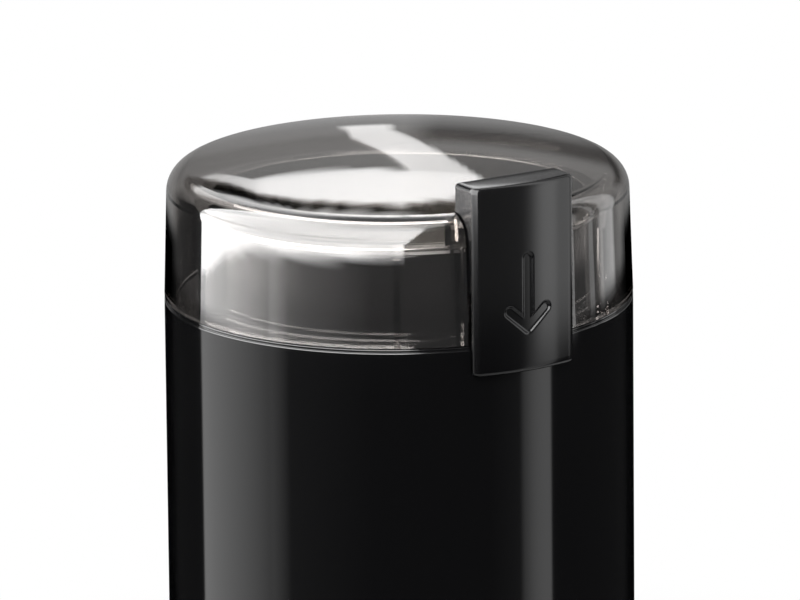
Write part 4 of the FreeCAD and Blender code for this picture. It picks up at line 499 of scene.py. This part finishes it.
INLET_HEIGHT = 18.0
INLET_RADIUS = 5.6
inlet_hole = grid_mesh("inlet hole", [(lying(
    [0.0, INLET_RADIUS, INLET_RADIUS, 0.0], [38.0, 38.0, 46.0, 46.0], INLET_HEIGHT), False, True)])
SLOT_HALF = 4.6
SLOT_FRONT = -39.92
SLOT_MIDDLE = -39.0
SLOT_BACK = -38.1
slot_x = np.array([SLOT_HALF, -SLOT_HALF, -SLOT_HALF, SLOT_HALF])
slot_y = np.array([SLOT_BACK, SLOT_BACK, SLOT_FRONT, SLOT_FRONT])
slot_z = np.array([[128.0], [128.0], [131.6], [131.6]]) * np.ones(4)
open_share = np.array([[0.0], [1.0], [1.0], [0.0]])
slot_hole = grid_mesh("slot hole", [(np.stack([
    open_share * slot_x, open_share * slot_y + (1 - open_share) * SLOT_MIDDLE, slot_z], -1),
    False, True)])
casing_mesh = grid_mesh("casing_shell", [(ring_of(*shell, 256), True, True)])
piece("casing_shell", cut(casing_mesh, inlet_hole, slot_hole), black_gloss, "housing",
               ["casing"])

# Grinding bowl: drawn from 0.6 mm stainless sheet, with a turned-out flange that lies on the
# grey silicone gasket, and a raised hub. Spinning and polishing leave fine rings round it.
def spun(name, colour, roughness, ring, depth, scatter=0.06):
    """Metal finished on a lathe or wheel: noise stretched round the vertical axis, from the
    distance to the axis and the height, changes roughness and lifts fine rings."""
    finish, shader, place = new_finish(name)
    parts = place.node("ShaderNodeSeparateXYZ", {}, {0: place}).socket.node
    along_x, along_y, height = [Wire(place.tree, socket) for socket in parts.outputs]
    flat = place.node("ShaderNodeCombineXYZ", {}, {0: along_x, 1: along_y})
    reach = place.node("ShaderNodeVectorMath", {"operation": "LENGTH"}, {0: flat}, "Value")
    rings = place.node("ShaderNodeCombineXYZ", {}, {0: reach, 1: height}).noise(1000.0 / ring, 4.0)
    clouds = place.noise(80.0, 5.0)
    dark = tuple(part * 0.9 for part in colour) + (1.0,)
    clouds.between(dark, colour + (1.0,)).into(shader, "Base Color")
    rough = rings * scatter + clouds * scatter + (roughness - scatter)
    rough.into(shader, "Roughness")
    rings.lifting(depth).into(shader, "Normal")
    shader.inputs["Metallic"].default_value = 1.0
    return finish


bowl_steel = spun("spun stainless steel", (0.54, 0.53, 0.51), 0.19, 0.25, 0.5)
eased("drawn_bowl", "grinding_bowl", 0.15, "housing", bowl_steel)
silicone = moulded("grey silicone", (0.20, 0.20, 0.20), 0.5, 0.4, 4.0)
dress(silicone, "bowl_gasket")

# Lid: a cup of smoked clear plastic with 2 mm walls, a pocket that guides the button, and two
# ribs inside. It is polished in the mould, so only faint flow lines and wiping marks show.
LID_TINT = (0.10, 0.04, 0.0, 1.0)
LID_DENSITY = 245.0
LID_SHADOW = (0.80, 0.785, 0.77, 1.0)
smoked, shader, place = new_finish("smoked clear plastic")
tree = smoked.node_tree
shader.inputs["Base Color"].default_value = (1.0, 1.0, 1.0, 1.0)
shader.inputs["Transmission Weight"].default_value = 1.0
shader.inputs["IOR"].default_value = 1.49
(place.noise(140.0, 6.0) * 0.02).into(shader, "Roughness")
place.noise(45.0, 2.0).lifting(6.0).into(shader, "Normal")
path = tree.nodes.new("ShaderNodeLightPath")
through = place.node("ShaderNodeBsdfTransparent", {}, {"Color": LID_SHADOW})
mixed = place.node("ShaderNodeMixShader", {}, {
    "Fac": Wire(tree, path.outputs["Is Shadow Ray"]), 1: Wire(tree, shader.outputs[0]), 2: through})
mixed.into(tree.nodes["Material Output"], "Surface")
tint = place.node("ShaderNodeVolumeAbsorption", {}, {"Color": LID_TINT, "Density": LID_DENSITY})
tint.into(tree.nodes["Material Output"], "Volume")
dress(smoked, "lid")

# Push button: satin black ABS cap that slides in the lid's pocket, with an arrow sunk into its
# face. It is gripped by the pocket's walls and held by two barbs on its tongue.
button_black = moulded("satin black abs", (0.0034, 0.0034, 0.0038), 0.14, 0.7, 1.2, specular=0.28)
BUTTON_HALF = 10.5
BUTTON_FACE = 44.1
BUTTON_INNER = 42.8
BUTTON_CORNER = 1.5
BUTTON_EDGE = 0.8
CAP_LOW = 125.6
CAP_HIGH = 160.2
BLOCK_LOW = 140.8
BLOCK_BACK = 38.4
HEAD_LOW = 153.5
HEAD_BACK = 36.6
ROW_STEP = 0.16
SHARP_STEP = 0.01
ARROW_DEPTH = 0.45
ARROW_HALF = 0.95
ARROW_SOFT = 0.5
ARROW_STROKES = [((0.0, 146.35), (0.0, 133.9)), ((0.0, 133.7), (-3.7, 136.9)),
                 ((0.0, 133.7), (3.7, 136.9))]


def arrow_depth(across, height):
    """How deep the arrow is sunk at points of the face: the distance to the nearest of its three
    straight strokes is turned into depth by a smooth step at the stroke's edge."""
    nearest = np.full(across.shape, 1e9)
    for (x0, z0), (x1, z1) in ARROW_STROKES:
        way = ((across - x0) * (x1 - x0) + (height - z0) * (z1 - z0)) / (
            (x1 - x0) ** 2 + (z1 - z0) ** 2)
        way = np.clip(way, 0.0, 1.0)
        nearest = np.minimum(nearest, np.hypot(across - x0 - way * (x1 - x0),
                                               height - z0 - way * (z1 - z0)))
    share = np.clip((ARROW_HALF + ARROW_SOFT / 2 - nearest) / ARROW_SOFT, 0.0, 1.0)
    return ARROW_DEPTH * share * share * (3 - 2 * share)


def button_level(height, inset, back, closed=False):
    """One closed loop of the cap, counter-clockwise from above: the face is an arc about the
    grinder's axis with rounded corners, the sides run straight back, and the back is an arc or a
    flat. inset draws it in all round, and closed folds it flat for a lid on the end."""
    half = BUTTON_HALF - BUTTON_CORNER
    middle = math.sqrt(BUTTON_FACE ** 2 - half ** 2) - BUTTON_CORNER
    bend = np.linspace(0.12, math.pi / 2, 8)
    flat = np.linspace(-half, half, 121)
    across = np.concatenate([-half - BUTTON_CORNER * np.sin(bend[::-1]), flat,
                             half + BUTTON_CORNER * np.sin(bend)])
    corner = middle + BUTTON_CORNER * np.cos(bend)
    face = np.concatenate([corner[::-1], np.sqrt(BUTTON_FACE ** 2 - flat ** 2), corner])
    rear = np.sqrt(BUTTON_INNER ** 2 - across ** 2) if back is None else np.full(across.shape, back)
    face = face - arrow_depth(across, np.full(across.shape, height))
    face, rear = face - inset, rear + inset
    across = across * (BUTTON_HALF - inset) / BUTTON_HALF
    if closed:
        face = rear = (face + rear) / 2
    side = np.array([face[0] - 0.2, rear[0] + 0.2]) if not closed else np.array([face[0]] * 2)
    x = np.concatenate([across, [across[-1]] * 2, across[::-1], [across[0]] * 2])
    w = np.concatenate([face, side, rear[::-1], side[::-1]])
    return np.stack([x, -w, np.full(x.shape, height)], -1)


def rounded_box(x, y, z, fillet):
    """Box between the limits with rounded edges: each level is a rectangle with rounded corners,
    drawn in towards the top and bottom along quarter circles, and closed by a point."""
    bend = np.linspace(0.0, math.pi / 2, 5)
    rows = []
    drop = fillet * (1 - np.cos(bend))
    rise = fillet * (1 - np.sin(bend))
    levels = [(z[0], None)] + [(z[0] + up, inward) for up, inward in zip(drop, rise)]
    levels += [(z[1] - up, inward) for up, inward in zip(drop[::-1], rise[::-1])]
    levels += [(z[1], None)]
    for height, inward in levels:
        turn = np.concatenate([bend + quarter * math.pi / 2 for quarter in range(4)])
        radius = fillet - (inward or 0.0) * 0.999
        centre_x = np.repeat([x[1] - fillet, x[0] + fillet, x[0] + fillet, x[1] - fillet], 5)
        centre_y = np.repeat([y[1] - fillet, y[1] - fillet, y[0] + fillet, y[0] + fillet], 5)
        row = np.stack([centre_x + radius * np.cos(turn), centre_y + radius * np.sin(turn),
                        np.full(turn.shape, height)], -1)
        if inward is None:
            row[:, 0], row[:, 1] = sum(x) / 2, sum(y) / 2
        rows.append(row)
    return np.stack(rows), False, True


edge = np.linspace(0.0, math.pi / 2, 6)
edge_in = BUTTON_EDGE * (1 - np.sin(edge))
edge_up = BUTTON_EDGE * (1 - np.cos(edge))
levels = [(CAP_LOW, BUTTON_EDGE, None, True)]
levels += [(CAP_LOW + up, inward, None, False) for up, inward in zip(edge_up, edge_in)]
levels += [(height, 0.0, None, False) for height in np.arange(127.0, 140.7, ROW_STEP)]
levels += [(BLOCK_LOW - SHARP_STEP, 0.0, None, False), (BLOCK_LOW, 0.0, BLOCK_BACK, False)]
levels += [(height, 0.0, BLOCK_BACK, False) for height in np.arange(140.95, 148.2, ROW_STEP)]
levels += [(153.3, 0.0, BLOCK_BACK, False), (HEAD_LOW - SHARP_STEP, 0.0, BLOCK_BACK, False),
           (HEAD_LOW, 0.0, HEAD_BACK, False), (153.7, 0.0, HEAD_BACK, False),
           (159.0, 0.0, HEAD_BACK, False)]
levels += [(CAP_HIGH - up, inward, HEAD_BACK, False)
           for up, inward in zip(edge_up[::-1], edge_in[::-1])]
levels += [(CAP_HIGH, BUTTON_EDGE, HEAD_BACK, True)]
cap = np.stack([button_level(height, inward, rear, closed=closed)
                for height, inward, rear, closed in levels])

# The two return springs stand in bores in the cap's thick block, and the tongue with its barbs
# hangs down behind it.
SPRING_SIDE = 6.2
SPRING_BACK = -40.5
SPRING_LOW = 137.0
SPRING_HIGH = 151.0
BORE_RADIUS = 1.65
BORE_LOW = BLOCK_LOW - 1.0
BORE_HIGH = SPRING_HIGH + 0.05
TONGUE_DEPTH = (-39.77, -38.4)
bores = []
for side in (-SPRING_SIDE, SPRING_SIDE):
    bore = ring_of([0.0, BORE_RADIUS, BORE_RADIUS, 0.0],
                   [BORE_LOW, BORE_LOW, BORE_HIGH, BORE_HIGH], 32)
    bores.append(grid_mesh("bore", [(bore + np.array([side, SPRING_BACK, 0.0]), False, True)]))
bored = cut(grid_mesh("button_cap", [(cap, False, True)]), *bores, sharp=60.0)
joined = bmesh.new()
joined.from_mesh(bored)
joined.from_mesh(grid_mesh("tongue", [
    rounded_box((-3.0, 3.0), TONGUE_DEPTH, (128.4, 141.2), 0.3),
    rounded_box((-4.3, 4.3), TONGUE_DEPTH, (133.2, 135.2), 0.3)]))
joined.to_mesh(bored)
joined.free()
piece("button_cap", bored, button_black, "button", ["push_button"])

# Blade, its nut and the shaft's seal stand in the bowl. The blade is ground from 1.6 mm spring
# steel, the nut is turned, and the seal is a black rubber lip.
blade_steel = spun("ground blade steel", (0.56, 0.56, 0.57), 0.2, 0.15, 1.2)
eased("ground_blade", "blade", 0.25, "rotor", blade_steel)
eased("cap_nut", "blade_nut", 0.3, "rotor", blade_steel)
rubber = moulded("black rubber", (0.012, 0.012, 0.012), 0.62, 0.25, 14.0, 0.08)
dress(rubber, "shaft_seal")

# Inlet bush: a black rubber ring at the back that snaps into the housing's wall by the groove
# between its two flanges. The feet and the motor's washers are of the same rubber.
BUSH_BORE = 3.6
FLANGE_RADIUS = 7.2
gland = rounded([
    (BUSH_BORE, 37.7, 0.4), (FLANGE_RADIUS, 37.7, 0.5), (FLANGE_RADIUS, 39.3, 0.3),
    (INLET_RADIUS, 39.3, 0.2), (INLET_RADIUS, 42.6, 0.2), (FLANGE_RADIUS, 42.6, 0.3),
    (FLANGE_RADIUS, 44.1, 0.7), (BUSH_BORE, 44.1, 0.9)])
piece("inlet_bush", [(lying(*gland, INLET_HEIGHT), True, True)], rubber, "housing",
      ["cord_gland"])
dress(rubber, "foot_1", "foot_2", "foot_3", "foot_4", "bracket_washers")

# Springs: music wire wound cold, with closed ends. The two return springs push the button up off
# the lid's ledge, and the third lifts the rod.
spring_steel = spun("spring wire", (0.42, 0.42, 0.43), 0.3, 0.1, 1.5)
dress(spring_steel, "switch_lever")
COIL_RADIUS = 1.5
COIL_WIRE = 0.4
COIL_POINTS = 40


def coiled(name, centre, low, high, turns, body, node):
    """A wire along a helix: its middle runs half a wire inside the coil's radius, and its height
    stays level for the first and last turn. A small circle across the path, in the radial and
    upright directions, gives the wire its thickness."""
    way = np.linspace(0.0, 1.0, turns * COIL_POINTS)
    turn = way * turns * 2 * math.pi
    rise = np.clip((way * turns - 1.0) / (turns - 2.0), 0.0, 1.0)
    height = low + COIL_WIRE / 2 + rise * (high - low - COIL_WIRE)
    across = np.linspace(0.0, 2 * math.pi, 12, endpoint=False)
    ends = np.where((way == 0) | (way == 1), 0.0, 1.0)[:, None]
    reach = COIL_RADIUS - COIL_WIRE / 2 + COIL_WIRE / 2 * np.cos(across) * ends
    points = np.stack([centre[0] + reach * np.cos(turn)[:, None],
                       centre[1] + reach * np.sin(turn)[:, None],
                       height[:, None] + COIL_WIRE / 2 * np.sin(across) * ends], -1)
    made = piece(name, [(points[:, ::-1], False, True)], spring_steel, body, [node])
    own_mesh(made)


for side, word in ((-1, "left"), (1, "right")):
    coiled(f"return_coil_{word}", (side * SPRING_SIDE, SPRING_BACK), SPRING_LOW, SPRING_HIGH, 9,
           "lid", f"return_spring_{word}")
coiled("rod_coil", (6.0, -30.6), 75.4, 87.4, 8, "housing", "rod_spring")

# Underside: a satin black cover that plugs into the housing, held by three plated screws, on four
# rubber feet pressed into its sockets.
inner_black = moulded("satin black cover", (0.010, 0.010, 0.0105), 0.42, 0.5, 7.0)
eased("bottom_cover", "base_cover", 0.25, "housing", inner_black)
screw_steel = spun("zinc plated steel", (0.55, 0.56, 0.58), 0.3, 0.2, 1.0)
dress(screw_steel, "base_screws", "bowl_screws", "bracket_screws", "motor_bolts",
      "switch_bracket", "switch_bracket_screws", "switch_screws")

# Motor and switch gear inside the housing, as the CAD has them: plated and ground steel, lacquered
# core plates, enamelled wire, brass, oiled bronze, carbon, nylon and phenolic.
shaft_steel = spun("ground shaft steel", (0.50, 0.50, 0.51), 0.22, 0.12, 0.6)
dress(shaft_steel, "motor_shaft")
lamination = spun("varnished core plate", (0.16, 0.15, 0.15), 0.38, 0.5, 30.0)
dress(lamination, "field_core", "armature_core")
copper = spun("enamelled copper wire", (0.62, 0.26, 0.12), 0.25, 0.4, 60.0)
dress(copper, "field_coil_left", "field_coil_right", "armature_winding", "commutator")
brass = spun("drawn brass", (0.66, 0.50, 0.22), 0.26, 0.2, 1.2)
dress(brass, "brush_holder_front", "brush_holder_back", "terminal_screws")
bronze = spun("oiled bronze", (0.46, 0.30, 0.16), 0.4, 0.3, 4.0)
dress(bronze, "upper_bearing", "lower_bearing")
dress(spring_steel, "brush_spring_front", "brush_spring_back")
dress(moulded("carbon", (0.018, 0.018, 0.019), 0.55, 0.2, 8.0), "carbon_brush_front",
      "carbon_brush_back")
dress(moulded("glass filled nylon", (0.030, 0.030, 0.032), 0.5, 0.35, 9.0), "upper_bracket",
      "lower_bracket")
dress(moulded("white nylon", (0.72, 0.71, 0.67), 0.38, 0.8, 4.0), "cooling_fan",
      "thrust_washers", "switch_rod", "switch_plunger", "terminal_block")
dress(moulded("black phenolic", (0.016, 0.015, 0.014), 0.34, 0.6, 4.0), "microswitch")
dress(moulded("yellow film box", (0.66, 0.46, 0.05), 0.3, 1.2, 3.0), "suppression_capacitor")
dress(moulded("lead sleeve", (0.05, 0.05, 0.055), 0.45, 0.6, 5.0), "switch_lead", "coil_lead")
